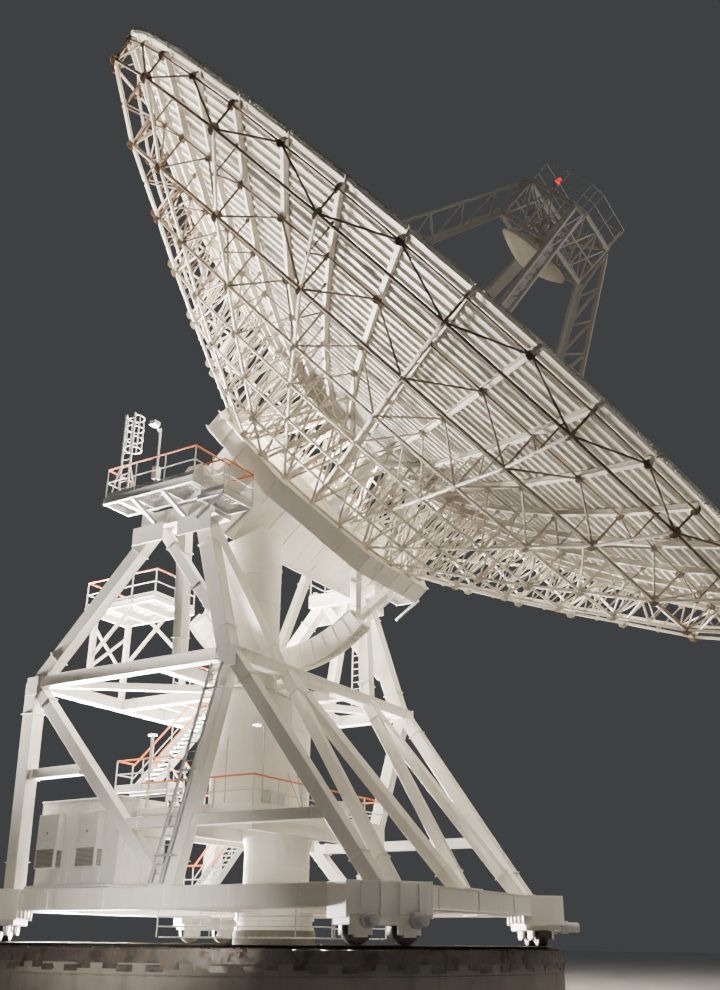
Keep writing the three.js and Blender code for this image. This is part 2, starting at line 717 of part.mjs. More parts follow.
const HOOPS = [
  { r: 16830, n: backN(17000) - 390, size: 170, step: 15 },
  { r: 16830, n: 9830, size: 170, step: 15 },
  { r: 14770, n: 8130, size: 160, step: 15 },
];
for (let q = 0; q < 4; q += 1) {
  const pieces = [];
  for (let k = 0; k < 6; k += 1) {
    pieces.push(rib(q * 90 + 7.5 + 15 * k));
  }
  for (const hoop of HOOPS) {
    for (let a = -7.5; a < 89; a += hoop.step) {
      const from = V(polar(hoop.r, q * 90 + a, hoop.n));
      const to = V(polar(hoop.r, q * 90 + a + hoop.step, hoop.n));
      const trim = 50 / from.distanceTo(to);
      const start = from.clone().lerp(to, trim);
      const end = to.clone().lerp(from, trim);
      pieces.push(bar(start.toArray(), end.toArray(), hoop.size, hoop.size));
    }
  }
  const solid = joined(pieces).intersect(toSolid(quadrantWedge(q)));
  addMesh(reflector, `rib_quadrant_${q + 1}`, solid, LOOK.truss_paint);
}

// Panels: a thin shell in four quarters, faceted where the ribs lie.
const PANEL_STEP = 7.5;
function panelQuarter(q, low = 0, high = PANEL_T, seam = 0.5) {
  const rings = [1300, ...STATIONS];
  const columns = 90 / PANEL_STEP;
  const positions = [];
  const index = [];
  const id = (layer, i, j) => layer * rings.length * (columns + 1) + i * (columns + 1) + j;
  for (const layer of [0, 1]) {
    for (const r of rings) {
      for (let j = 0; j <= columns; j += 1) {
        const slack = j === 0 ? seam : (j === columns ? -seam : 0);
        const deg = q * 90 + j * PANEL_STEP;
        const p = polar(r, deg, backN(r) + (layer === 1 ? high : low));
        const t = THREE.MathUtils.degToRad(deg + 90);
        positions.push(p[0] + slack * Math.cos(t), p[1] + slack * Math.sin(t), p[2]);
      }
    }
  }
  const quad = (a, b, c, d) => index.push(a, b, c, a, c, d);
  for (let i = 0; i + 1 < rings.length; i += 1) {
    for (let j = 0; j < columns; j += 1) {
      quad(id(1, i, j), id(1, i + 1, j), id(1, i + 1, j + 1), id(1, i, j + 1));
      quad(id(0, i, j), id(0, i, j + 1), id(0, i + 1, j + 1), id(0, i + 1, j));
    }
  }
  const last = rings.length - 1;
  for (let j = 0; j < columns; j += 1) {
    quad(id(0, 0, j), id(1, 0, j), id(1, 0, j + 1), id(0, 0, j + 1));
    quad(id(0, last, j), id(0, last, j + 1), id(1, last, j + 1), id(1, last, j));
  }
  for (let i = 0; i < last; i += 1) {
    quad(id(0, i, 0), id(0, i + 1, 0), id(1, i + 1, 0), id(1, i, 0));
    quad(id(0, i, columns), id(1, i, columns), id(1, i + 1, columns), id(0, i + 1, columns));
  }
  const geometry = new THREE.BufferGeometry();
  geometry.setAttribute('position', new THREE.Float32BufferAttribute(positions, 3));
  geometry.setIndex(index);
  geometry.computeVertexNormals();
  return geometry;
}
for (let q = 0; q < 4; q += 1) {
  addMesh(reflector, `panel_quarter_${q + 1}`, panelQuarter(q), LOOK.panel_paint);
}

// Vertex tube: it stands on the girder and ends in the plate that closes the bowl's middle.
const VERTEX_V = -700;
const VERTEX_R = 250;
const VERTEX_PLATE_R = 1296;
const VERTEX_PLATE_N = PANEL_BACK_N + 40;
addMesh(reflector, 'vertex_tube', joined([
  turned([
    [0, VERTEX_PLATE_N], [VERTEX_PLATE_R, VERTEX_PLATE_N],
    [VERTEX_PLATE_R, PANEL_BACK_N + PANEL_T], [0, PANEL_BACK_N + PANEL_T],
  ], 48),
  turned([
    [0, HUB_N0], [VERTEX_R + 90, HUB_N0], [VERTEX_R + 90, HUB_N0 + 60], [VERTEX_R, HUB_N0 + 60],
    [VERTEX_R, VERTEX_PLATE_N + 20], [0, VERTEX_PLATE_N + 20],
  ], 20).translate(0, VERTEX_V, 0),
]), LOOK.grey_paint);

// Feed support: four lattice legs, an apex frame and the sub-reflector.
// Each leg is a flat truss in a plane through the boresight axis, half way between the main axes.
const LEG_T = 460;
const LEG_END_R = 2150;
const LEG_INNER = [[7100, 5750], [LEG_END_R + GAP, 15980]];
const LEG_OUTER = [[8900, 6100], [LEG_END_R + GAP, 17600]];
const LEG_CUTS = [0.11, 0.32, 0.53, 0.74, 0.95];
const FEED_N0 = 15700;
const FEED_N1 = 17650;

const along = (line, t) => [
  line[0][0] + (line[1][0] - line[0][0]) * t,
  line[0][1] + (line[1][1] - line[0][1]) * t,
];

function legPlate() {
  const outline = [
    [LEG_INNER[0][0] - 250, LEG_INNER[0][1] - 130], [LEG_OUTER[0][0], LEG_OUTER[0][1]],
    LEG_OUTER[1], [LEG_INNER[1][0], LEG_INNER[1][1] - 280],
  ];
  const holes = [];
  for (let i = 0; i + 1 < LEG_CUTS.length; i += 1) {
    const a = along(LEG_INNER, LEG_CUTS[i]);
    const b = along(LEG_OUTER, LEG_CUTS[i]);
    const c = along(LEG_OUTER, LEG_CUTS[i + 1]);
    const d = along(LEG_INNER, LEG_CUTS[i + 1]);
    if (i % 2 === 0) {
      holes.push(inset([a, b, c], 90), inset([a, c, d], 90));
    } else {
      holes.push(inset([b, d, a], 90), inset([b, c, d], 90));
    }
  }
  return prism(outline, -LEG_T / 2, LEG_T / 2, holes);
}

const bowl = [0, 1, 2, 3].map((k) => panelQuarter(k, -1500, PANEL_T + 1, -0.5));
for (let q = 0; q < 4; q += 1) {
  const leg = legPlate();
  leg.rotateX(Math.PI / 2);
  const pads = [
    block(6700, 7500, -420, 420, 5900, 6420),
    block(8300, 9000, -420, 420, 6200, 6930),
  ];
  const turn = THREE.MathUtils.degToRad(45 + 90 * q);
  const pieces = [leg, ...pads].map((piece) => piece.rotateZ(turn));
  addMesh(reflector, `feed_leg_${q + 1}`, cutBy(joined(pieces), bowl), LOOK.truss_paint);
}

// A square frame with cut corners, where the legs meet it.
function cutSquare(half, flat) {
  const short = flat * Math.SQRT2 - half;
  return [
    [half, -short], [half, short], [short, half], [-short, half],
    [-half, short], [-half, -short], [-short, -half], [short, -half],
  ];
}
const APEX_HALF = 1750;
const APEX_WALL = 220;
const POST_R = 260;
const SUB_BACK_N = 16050;
const apexHole = cutSquare(APEX_HALF - APEX_WALL, LEG_END_R - APEX_WALL).reverse();
const APEX_SPAN = APEX_HALF - APEX_WALL / 2;
addMesh(reflector, 'apex_frame', joined([
  prism(cutSquare(APEX_HALF, LEG_END_R), FEED_N0, FEED_N1, [apexHole]),
  block(-APEX_SPAN, APEX_SPAN, -150, 150, 16900, 17200),
  block(-150, 150, -APEX_SPAN, APEX_SPAN, 16900, 17200),
  turned([[0, SUB_BACK_N], [POST_R, SUB_BACK_N], [POST_R, 17100], [0, 17100]], 16),
]), LOOK.truss_paint);

// The small mirror bulges towards the dish.
addMesh(reflector, 'subreflector', turned([
  [0, 14850], [600, 14920], [1150, 15100], [1650, 15400], [1650, 15520], [1100, 15750],
  [500, 15930], [240, SUB_BACK_N - GAP], [0, SUB_BACK_N - GAP],
], 20), LOOK.panel_paint);

// Red lamp on its post at the top edge of the frame.
const LAMP_V = 1640;
addMesh(reflector, 'aviation_lamp', joined([
  block(-40, 40, LAMP_V - 40, LAMP_V + 40, FEED_N1 + GAP, 18500),
  turned([[0, 18450], [130, 18450], [130, 18650], [80, 18740], [0, 18760]], 12)
    .translate(0, LAMP_V, 0),
]), LOOK.lamp_glass);

export default group;
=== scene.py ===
"""Radio telescope dish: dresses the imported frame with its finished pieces, lights and camera."""

import json
import math

import bpy
import numpy as np
from mathutils import Matrix, Vector


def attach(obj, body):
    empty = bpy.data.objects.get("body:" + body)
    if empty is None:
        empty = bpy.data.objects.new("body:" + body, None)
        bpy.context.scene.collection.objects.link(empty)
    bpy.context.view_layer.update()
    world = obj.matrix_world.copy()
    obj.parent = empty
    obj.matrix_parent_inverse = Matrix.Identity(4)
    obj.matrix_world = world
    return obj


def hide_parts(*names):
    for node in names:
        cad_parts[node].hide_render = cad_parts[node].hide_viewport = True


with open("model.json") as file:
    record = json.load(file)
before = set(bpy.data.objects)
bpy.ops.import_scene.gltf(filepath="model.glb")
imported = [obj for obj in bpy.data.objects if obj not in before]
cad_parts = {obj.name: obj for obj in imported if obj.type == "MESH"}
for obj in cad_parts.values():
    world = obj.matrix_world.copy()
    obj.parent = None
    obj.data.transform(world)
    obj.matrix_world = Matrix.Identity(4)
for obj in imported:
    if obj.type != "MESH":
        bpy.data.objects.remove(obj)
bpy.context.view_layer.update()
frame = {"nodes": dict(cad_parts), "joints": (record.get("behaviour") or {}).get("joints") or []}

bl_info = {
    "name": "Radio Telescope Dish",
    "version": (1, 0, 0),
    "blender": (4, 5, 0),
    "location": "3D View > Sidebar > Dish",
    "description": "Builds a steerable radio telescope dish with its back structure and frame",
    "category": "Add Mesh",
}

NODES = frame["nodes"]
TIP_JOINT = next(j for j in frame["joints"] if j["name"] == "elevation_tip")
AXIS_Z = TIP_JOINT["pos_m"][2]
ELEVATION = math.radians(40.5)
SIN_E, COS_E = math.sin(ELEVATION), math.cos(ELEVATION)
TILT = Matrix((
    (1, 0, 0, 0),
    (0, SIN_E, -COS_E, 0),
    (0, COS_E, SIN_E, AXIS_Z),
    (0, 0, 0, 1),
))

# Heights and places in metres, as in the frame.
TRACK_R = 9.75
WALL_IN_R, WALL_OUT_R, BAND_R = 8.9, 10.37, 10.4
WALL_TOP, TRACK_TOP = 1.6, 1.75
PIER_TOP = 2.2
BEAM_Z0, BEAM_Z1 = 2.76, 3.46
CORNER_X, CORNER_Y = 5.8, 7.85
RING_Z, RING_X = 10.94, 6.06
RING_FRONT, RING_BACK = -2.13, 7.42
RING_INNER_X = 2.91
CHORD = 0.44
RING_TOP = RING_Z + CHORD / 2
DECK_Z0, DECK_Z1 = 5.7, 6.05
DECK_X, DECK_FRONT, DECK_BACK = 4.45, -2.1, 3.1
CABIN_TOP = 6.56

# Reflector values in its own frame: u across, v up the dish, n along the boresight.
FOCAL = 12.2
SHEET_BACK_N = 5.03
SHEET_FRONT_N = 5.15
RIM_R = 17.0
LOWER_NODES = [
    (5.35, 2.5), (7.2, 3.52), (9.0, 4.54), (10.8, 5.6), (12.5, 6.68), (14.75, 8.06), (16.88, 9.8),
]
UPPER_R = [5.5, 7.4, 9.2, 10.95, 12.55, 14.77, 16.9]
# How far the upper joints lie behind the sheet's back.
JOINT_DROP = 0.26
INNER_R = 2.8

# Directions: to the right, to the back and up.
ACROSS, BACKWARD, UP = (1, 0, 0), (0, 1, 0), (0, 0, 1)


def back_n(r):
    """Height of the sheet's back at radius r."""
    return SHEET_BACK_N + r * r / (4 * FOCAL)


def polar(r, degrees, n):
    """A point at radius r and an angle about the boresight axis."""
    a = math.radians(degrees)
    return Vector((r * math.cos(a), r * math.sin(a), n))


def lift(height):
    """A step straight up, or down where the height is negative."""
    return Vector((0, 0, height))


# Modelling helpers. Points of a spun seam that are closer than SEAM_GAP are one point.
SEAM_GAP = 0.0005


def leave_edit():
    """Goes back to object mode."""
    if bpy.context.mode != "OBJECT":
        bpy.ops.object.mode_set(mode="OBJECT")


def deselect():
    """Leaves nothing selected and nothing in edit mode."""
    leave_edit()
    bpy.ops.object.select_all(action="DESELECT")


def pick_faces(obj, test):
    """Selects the faces whose centre and normal pass the test, and goes to edit mode."""
    bpy.ops.object.mode_set(mode="EDIT")
    bpy.ops.mesh.select_mode(type="FACE")
    bpy.ops.mesh.select_all(action="DESELECT")
    bpy.ops.object.mode_set(mode="OBJECT")
    for face in obj.data.polygons:
        face.select = test(face.center, face.normal)
    bpy.ops.object.mode_set(mode="EDIT")


def new_box(size, centre=(0, 0, 0), bevel=0.0, segments=1):
    """A box, with softened edges where a bevel is given."""
    deselect()
    bpy.ops.mesh.primitive_cube_add(size=1, location=centre)
    obj = bpy.context.object
    obj.scale = size
    bpy.ops.object.transform_apply()
    if bevel:
        bpy.ops.object.mode_set(mode="EDIT")
        bpy.ops.mesh.select_all(action="SELECT")
        bpy.ops.mesh.bevel(offset=bevel, segments=segments, affect="EDGES")
        bpy.ops.object.mode_set(mode="OBJECT")
    return obj


def new_rod(radius, depth, sides, centre=(0, 0, 0), bevel=0.0):
    """An upright rod, with softened ends where a bevel is given."""
    deselect()
    bpy.ops.mesh.primitive_cylinder_add(vertices=sides, radius=radius, depth=depth, location=centre)
    obj = bpy.context.object
    bpy.ops.object.transform_apply()
    if bevel:
        pick_faces(obj, lambda c, n: abs(n.z) > 0.9)
        bpy.ops.mesh.bevel(offset=bevel, segments=2, affect="EDGES")
        bpy.ops.object.mode_set(mode="OBJECT")
    return obj


def spin(steps, angle, axis):
    """Spins what is edited about an axis, closes its seam and turns its faces outwards."""
    bpy.ops.mesh.select_all(action="SELECT")
    bpy.ops.mesh.spin(steps=steps, angle=angle, center=(0, 0, 0), axis=axis)
    bpy.ops.mesh.select_all(action="SELECT")
    bpy.ops.mesh.remove_doubles(threshold=SEAM_GAP)
    bpy.ops.mesh.normals_make_consistent(inside=False)
    leave_edit()


def arrays(obj):
    """Vertices, face corners and face sizes of a mesh object."""
    mesh = obj.data
    points = np.zeros(len(mesh.vertices) * 3)
    mesh.vertices.foreach_get("co", points)
    corners = np.zeros(len(mesh.loops), int)
    mesh.loops.foreach_get("vertex_index", corners)
    sizes = np.zeros(len(mesh.polygons), int)
    mesh.polygons.foreach_get("loop_total", sizes)
    return points.reshape(-1, 3), corners, sizes


def take_model(obj):
    """The arrays of a model that is copied; the model itself goes."""
    leave_edit()
    model = arrays(obj)
    mesh = obj.data
    bpy.data.objects.remove(obj)
    bpy.data.meshes.remove(mesh)
    return model


def mesh_object(name, sets):
    """One object from several (points, corners, sizes) sets."""
    points, corners, sizes, base = [], [], [], 0
    for p, c, s in sets:
        points.append(p)
        corners.append(c + base)
        sizes.append(s)
        base += len(p)
    points = np.concatenate(points)
    corners = np.concatenate(corners)
    sizes = np.concatenate(sizes)
    mesh = bpy.data.meshes.new(name)
    mesh.vertices.add(len(points))
    mesh.vertices.foreach_set("co", points.ravel())
    mesh.loops.add(len(corners))
    mesh.loops.foreach_set("vertex_index", corners)
    mesh.polygons.add(len(sizes))
    mesh.polygons.foreach_set("loop_start", np.concatenate(([0], np.cumsum(sizes)[:-1])))
    mesh.update(calc_edges=True)
    mesh.validate()
    obj = bpy.data.objects.new(name, mesh)
    bpy.context.scene.collection.objects.link(obj)
    return obj


def repeat(model, mapped):
    """One set for all copies, from the mapped points of each copy."""
    _, corners, sizes = model
    count = len(mapped)
    points = np.concatenate(mapped)
    step = len(mapped[0])
    shifts = np.repeat(np.arange(count) * step, len(corners))
    return points, np.tile(corners, count) + shifts, np.tile(sizes, count)


def axes(a, b, up):
    """Side, top and direction of a member that runs from a to b."""
    a, b = Vector(a), Vector(b)
    along = (b - a).normalized()
    side = Vector(up).cross(along)
    if side.length < 1e-4:
        side = Vector(ACROSS).cross(along)
    side.normalize()
    return a, b, side, along.cross(side), along


def stretched(model, members):
    """Copies of a small model whose corners are pulled apart to each member's size."""
    points, half = model[0], np.abs(model[0]).max(0)
    mapped = []
    for a, b, w, h, up in members:
        a, b, side, top, along = axes(a, b, up)
        wanted = np.array([w / 2, h / 2, (b - a).length / 2])
        p = points + np.sign(points) * (wanted - half)
        basis = np.array([side, top, along])
        mapped.append(p @ basis + np.array((a + b) / 2))
    return repeat(model, mapped)


def scaled(model, members):
    """Copies of a unit model, scaled to each member's width, height and length."""
    points = model[0]
    mapped = []
    for a, b, w, h, up in members:
        a, b, side, top, _ = axes(a, b, up)
        basis = np.array([side * w, top * h, b - a])
        mapped.append(points @ basis + np.array(a))
    return repeat(model, mapped)


def placed(model, matrices):
    """Copies of a model at each matrix."""
    turns = [(np.array(m.to_3x3()).T, np.array(m.translation)) for m in matrices]
    return repeat(model, [model[0] @ turn + shift for turn, shift in turns])


def box_model(size, bevel, inset, depth, axis):
    """A small box with softened edges; its two faces across one axis stand in or out."""
    obj = new_box((size, size, size), bevel=bevel)
    pick_faces(obj, lambda c, n: abs(n[axis]) > 0.95)
    bpy.ops.mesh.inset(thickness=inset, depth=depth, use_individual=True)
    return take_model(obj)


def rod_model(sides, end, width):
    """A unit rod whose ends narrow to a share of its width over a short stretch."""
    obj = new_rod(0.5, 1 - 2 * end, sides, centre=(0, 0, 0.5))
    for sign in (-1, 1):
        pick_faces(obj, lambda c, n, s=sign: n.z * s > 0.9)
        bpy.ops.mesh.extrude_region_move(TRANSFORM_OT_translate={"value": (0, 0, sign * end)})
        bpy.ops.transform.resize(value=(width, width, 1))
    return take_model(obj)


def joint_model():
    """A round joint plate with a raised middle."""
    obj = new_rod(0.5, 0.5, 8)
    pick_faces(obj, lambda c, n: abs(n.z) > 0.9)
    bpy.ops.mesh.inset(thickness=0.16, depth=0.0, use_individual=True)
    bpy.ops.mesh.extrude_region_shrink_fatten(TRANSFORM_OT_shrink_fatten={"value": 0.25})
    return take_model(obj)


# Beams and girders have webs set in behind their flanges, and tubes have pinched ends.
MAKERS = {
    "beam": lambda: box_model(0.2, 0.012, 0.03, -0.014, 0),
    "girder": lambda: box_model(0.5, 0.012, 0.05, -0.045, 0),
    "plate": lambda: box_model(0.1, 0.004, 0.004, 0.002, 2),
    "tube": lambda: rod_model(8, 0.035, 0.45),
    "rail": lambda: rod_model(6, 0.001, 0.7),
    "joint": joint_model,
}
MODELS = {}


def model_of(kind):
    """Each model is made once, when it is first needed."""
    if kind not in MODELS:
        MODELS[kind] = MAKERS[kind]()
    return MODELS[kind]


def beams(members):
    """Flanged box girders; each member is (start, end, width, height, up)."""
    return stretched(model_of("beam"), members)


def heavy_girders(members):
    """Large girders, given like members."""
    return stretched(model_of("girder"), members)


def plates(members):
    """Flat plates with softened edges, given like members."""
    return stretched(model_of("plate"), members)


def slab(x0, x1, y0, y1, z0, z1):
    """A level plate between two corners, as a member."""
    xm, ym = (x0 + x1) / 2, (y0 + y1) / 2
    return ((xm, ym, z0), (xm, ym, z1), abs(y1 - y0), abs(x1 - x0), ACROSS)


def tubes(members):
    """Round lattice bars; each is (start, end, diameter)."""
    return scaled(model_of("tube"), [(a, b, d, d, (0.3, 0.2, 1)) for a, b, d in members])


def rails(members):
    """Thin handrail tubes; each is (start, end, diameter)."""
    return scaled(model_of("rail"), [(a, b, d, d, (0.3, 0.2, 1)) for a, b, d in members])


def disc(centre, normal, radius, thickness):
    """Matrix of a joint plate."""
    z = Vector(normal).normalized()
    turn = z.to_track_quat("Z", "Y").to_matrix().to_4x4()
    size = Matrix.Diagonal((radius * 2, radius * 2, thickness, 1))
    return Matrix.Translation(Vector(centre)) @ turn @ size


def joints(matrices):
    """Joint plates at each matrix."""
    return placed(model_of("joint"), matrices)


def finish_piece(obj, finish, nodes=(), body="alidade", smooth=30, slot=None):
    """Gives a piece its place, finish and body, and the nodes that it stands for."""
    if body == "reflector":
        obj.data.transform(TILT)
    obj.data.materials.clear()
    obj.data.materials.append(look(finish))
    deselect()
    obj.select_set(True)
    bpy.context.view_layer.objects.active = obj
    bpy.ops.object.shade_smooth_by_angle(angle=math.radians(smooth))
    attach(obj, body)
    if nodes:
        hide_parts(*nodes)


def piece(name, sets, finish, nodes=(), turn=None, **ways):
    """One finished piece from its sets, turned to its place where a turn is given."""
    obj = mesh_object(name, sets)
    if turn:
        obj.data.transform(turn)
    finish_piece(obj, finish, nodes, **ways)


# Shader building.
class Value:
    """A shader socket that takes part in sums, differences, products and powers."""

    def __init__(self, shader, socket):
        self.shader = shader
        self.socket = socket

    def _math(self, operation, first, second=None):
        inputs = {0: first} if second is None else {0: first, 1: second}
        return self.shader.node("ShaderNodeMath", {"operation": operation}, inputs)["Value"]

    def __add__(self, other):
        return self._math("ADD", self, other)

    def __radd__(self, other):
        return self._math("ADD", other, self)

    def __sub__(self, other):
        return self._math("SUBTRACT", self, other)

    def __rsub__(self, other):
        return self._math("SUBTRACT", other, self)

    def __mul__(self, other):
        return self._math("MULTIPLY", self, other)

    def __rmul__(self, other):
        return self._math("MULTIPLY", other, self)

    def __pow__(self, other):
        return self._math("POWER", self, other)


class Shader:
    """A material's node tree, made node by node."""

    def __init__(self, name):
        self.material = bpy.data.materials.new(name)
        self.material.use_nodes = True
        self.tree = self.material.node_tree
        self.tree.nodes.clear()

    def node(self, kind, settings=None, inputs=None):
        """Adds a node: its settings first, then the values or links of its sockets."""
        made = self.tree.nodes.new(kind)
        for key, value in (settings or {}).items():
            if key == "stops":
                ramp = made.color_ramp
                while len(ramp.elements) < len(value):
                    ramp.elements.new(0.5)
                for element, (place, colour) in zip(ramp.elements, value):
                    element.position = place
                    element.color = (*colour, 1) if len(colour) == 3 else colour
            else:
                setattr(made, key, value)
        for key, value in (inputs or {}).items():
            if isinstance(value, Value):
                self.tree.links.new(value.socket, made.inputs[key])
            else:
                made.inputs[key].default_value = value
        return {key: Value(self, s) for s in made.outputs for key in (s.name, s.identifier)}

    def place(self, scale=(1, 1, 1)):
        """Object coordinates, stretched by the given factors."""
        coords = self.node("ShaderNodeTexCoord")["Object"]
        return self.node("ShaderNodeMapping", {}, {"Vector": coords, "Scale": scale})["Vector"]

    def dish_place(self):
        """Places in the reflector's own frame: across, up the dish and along the boresight."""
        coords = self.node("ShaderNodeTexCoord")["Object"]
        turned = self.node("ShaderNodeMapping", {"vector_type": "TEXTURE"}, {
            "Vector": coords, "Location": (0, 0, AXIS_Z),
            "Rotation": (math.pi / 2 - ELEVATION, 0, 0),
        })["Vector"]
        parts = self.node("ShaderNodeSeparateXYZ", {}, {"Vector": turned})
        return parts["X"], parts["Y"], parts["Z"]

    def noise(self, size, detail=4.0, roughness=0.55, stretch=(1, 1, 1)):
        """Noise with features of about the given size in metres."""
        inputs = {
            "Vector": self.place(stretch), "Scale": 1 / size, "Detail": detail,
            "Roughness": roughness,
        }
        return self.node("ShaderNodeTexNoise", {}, inputs)["Fac"]

    def steps(self, value, low, high):
        """Runs from 0 at low to 1 at high."""
        soft = {"interpolation_type": "SMOOTHSTEP"}
        inputs = {"Value": value, "From Min": low, "From Max": high}
        return self.node("ShaderNodeMapRange", soft, inputs)["Result"]

    def blend(self, factor, first, second):
        """A mix of two colours."""
        inputs = {0: factor}
        for key, value in ((6, first), (7, second)):
            inputs[key] = (*value, 1) if isinstance(value, tuple) else value
        return self.node("ShaderNodeMix", {"data_type": "RGBA"}, inputs)["Result_Color"]

    def finish(self, colour, roughness, bump=None, strength=0.2, distance=0.01, **constants):
        """The surface itself, from a colour, a roughness and a bump height."""
        inputs = {"Base Color": colour, "Roughness": roughness}
        if bump is not None:
            heights = {"Height": bump, "Strength": strength, "Distance": distance}
            inputs["Normal"] = self.node("ShaderNodeBump", {}, heights)["Normal"]
        for key, value in constants.items():
            inputs[key.replace("_", " ")] = value
        surface = self.node("ShaderNodeBsdfPrincipled", {}, inputs)["BSDF"]
        self.node("ShaderNodeOutputMaterial", {}, {"Surface": surface})
        return self.material


def painted(name, colour, dirt, roughness, streaks=0.35, grain=0.5):
    """Paint on steel: cloudy tone, rain streaks, dirt in patches and a fine orange-peel surface."""
    s = Shader(name)
    cloud = s.steps(s.noise(2.6, 3.0), 0.38, 0.72)
    rain = s.steps(s.noise(0.32, 5.0, 0.6, (1, 1, 0.09)), 0.52, 0.78)
    patch = s.steps(s.noise(0.9, 6.0, 0.65), 0.56, 0.8)
    tone = s.blend(cloud * 0.55, colour, tuple(c * 0.9 for c in colour))
    tone = s.blend(rain * streaks, tone, dirt)
    tone = s.blend(patch * 0.3, tone, tuple((c + d) / 2 for c, d in zip(colour, dirt)))
    shine = s.noise(0.5, 4.0) * 0.18 + (roughness - 0.09)
    fine = s.noise(0.02, 2.0) * grain + s.noise(0.4, 3.0) * 0.5
    return s.finish(tone, shine, fine, strength=0.12, distance=0.01)


def web_shade_paint(light, dark, roughness):
    """Paint of the lattice webs, with painted shade: pale near the hub and low down, darkening to
    shaded brown up at the rim.
    """
    s = Shader("web_shade_paint")
    across, up, _ = s.dish_place()
    reach = (across * across + up * up) ** 0.5
    # Painted shade: the webs darken with reach from the hub and with height up the dish, along a
    # noisy edge.
    painted_shade_level = s.noise(0.8, 5.0, 0.6) * 3.0 + reach * 0.85 + up * 0.18
    painted_shade = s.steps(painted_shade_level, 8.4, 13.2)
    patch = s.steps(s.noise(0.25, 5.0, 0.65), 0.5, 0.75)
    tone = s.blend(painted_shade, light, dark)
    tone = s.blend(patch * 0.35, tone, tuple(c * 0.6 for c in dark))
    rough = s.noise(0.5, 4.0) * 0.2 + roughness
    return s.finish(tone, rough, s.noise(0.05, 3.0), strength=0.15, distance=0.004)


def sheet_paint_and_shade(front, back, dirt):
    """Panel sheets: pale paint on the reflecting side; behind, duller and darker as painted shade
    between the stiffeners, and rain-marked.
    """
    s = Shader("sheet_paint_and_shade")
    across, up, along = s.dish_place()
    depth = along - (across * across + up * up) * (1 / (4 * FOCAL))
    facing_in = s.steps(depth, SHEET_FRONT_N - 0.025, SHEET_FRONT_N - 0.015)
    cloud = s.steps(s.noise(1.9, 4.0), 0.36, 0.7)
    rain = s.steps(s.noise(0.4, 5.0, 0.6, (1, 1, 0.12)), 0.5, 0.78)
    # Painted shade: every face but the reflecting side keeps the darker back colour.
    tone = s.blend(cloud * 0.6, back, tuple(c * 0.82 for c in back))
    tone = s.blend(facing_in, tone, front)
    tone = s.blend(rain * 0.3, tone, dirt)
    shine = s.noise(0.5, 4.0) * 0.18 + 0.4
    return s.finish(tone, shine, s.noise(0.03, 3.0), strength=0.1, distance=0.006)


def concrete_material(colour):
    """Cast concrete with clouds, damp patches and pores."""
    s = Shader("cast_concrete")
    cloud = s.steps(s.noise(1.7, 5.0, 0.6), 0.35, 0.7)
    damp = s.steps(s.noise(0.5, 6.0, 0.65, (1, 1, 0.25)), 0.5, 0.74)
    pores = s.steps(s.noise(0.035, 2.0), 0.66, 0.76)
    tone = s.blend(cloud, colour, tuple(c * 0.72 for c in colour))
    tone = s.blend(damp * 0.6, tone, tuple(c * 0.5 for c in colour))
    tone = s.blend(pores * 0.7, tone, tuple(c * 0.35 for c in colour))
    rough = s.noise(0.3, 4.0) * 0.2 + 0.72
    height = s.noise(0.06, 6.0, 0.7) - pores * 0.8
    return s.finish(tone, rough, height, strength=0.5, distance=0.012)


def rail_material(colour):
    """Dark rail steel with rust and grease."""
    s = Shader("track_steel")
    rust = s.steps(s.noise(0.25, 6.0, 0.7), 0.48, 0.7)
    grease = s.steps(s.noise(0.6, 4.0), 0.5, 0.65)
    tone = s.blend(rust * 0.8, colour, (0.17, 0.085, 0.04))
    tone = s.blend(grease * 0.6, tone, (0.03, 0.028, 0.025))
    rough = rust * 0.35 + 0.38
    height = s.noise(0.03, 5.0, 0.7)
    return s.finish(tone, rough, height, strength=0.4, distance=0.006, Metallic=0.75)


def galvanised_material(colour):
    """Zinc-coated steel with its large dull spangle."""
    s = Shader("galvanised_steel")
    cells = {"Vector": s.place(), "Scale": 28.0}
    spangle = s.node("ShaderNodeTexVoronoi", {"feature": "F1"}, cells)["Distance"]
    cloud = s.steps(s.noise(0.7, 5.0), 0.4, 0.7)
    tone = s.blend(cloud * 0.5, colour, tuple(c * 0.7 for c in colour))
    tone = s.blend(s.steps(spangle, 0.1, 0.8) * 0.35, tone, tuple(min(c * 1.25, 1) for c in colour))
    rough = spangle * 0.2 + 0.36
    return s.finish(tone, rough, s.noise(0.05, 4.0), strength=0.15, distance=0.004, Metallic=0.6)


def lamp_material(name, colour, power):
    """A lit lamp lens of uneven glass."""
    s = Shader(name)
    ribs = s.noise(0.05, 3.0)
    tone = s.blend(ribs, colour, tuple(c * 0.6 for c in colour))
    glow = s.blend(ribs * 0.5, colour, tuple(min(c * 1.4 + 0.02, 1) for c in colour))
    return s.finish(tone, ribs * 0.1 + 0.12, Emission_Color=glow, Emission_Strength=power)


def grille_material():
    """Shadowed metal behind the louvres."""
    s = Shader("grille_dark")
    tone = s.blend(s.noise(0.1, 4.0), (0.05, 0.05, 0.048), (0.12, 0.12, 0.11))
    return s.finish(tone, s.noise(0.2, 3.0) * 0.2 + 0.55, s.noise(0.03, 3.0), strength=0.2)


def floor_material(colour):
    """Pale, faintly cloudy floor."""
    s = Shader("floor")
    tone = s.blend(s.noise(6.0, 3.0) * 0.4, colour, tuple(c * 0.95 for c in colour))
    return s.finish(tone, s.noise(2.0, 3.0) * 0.1 + 0.75)


LOOKS = {}


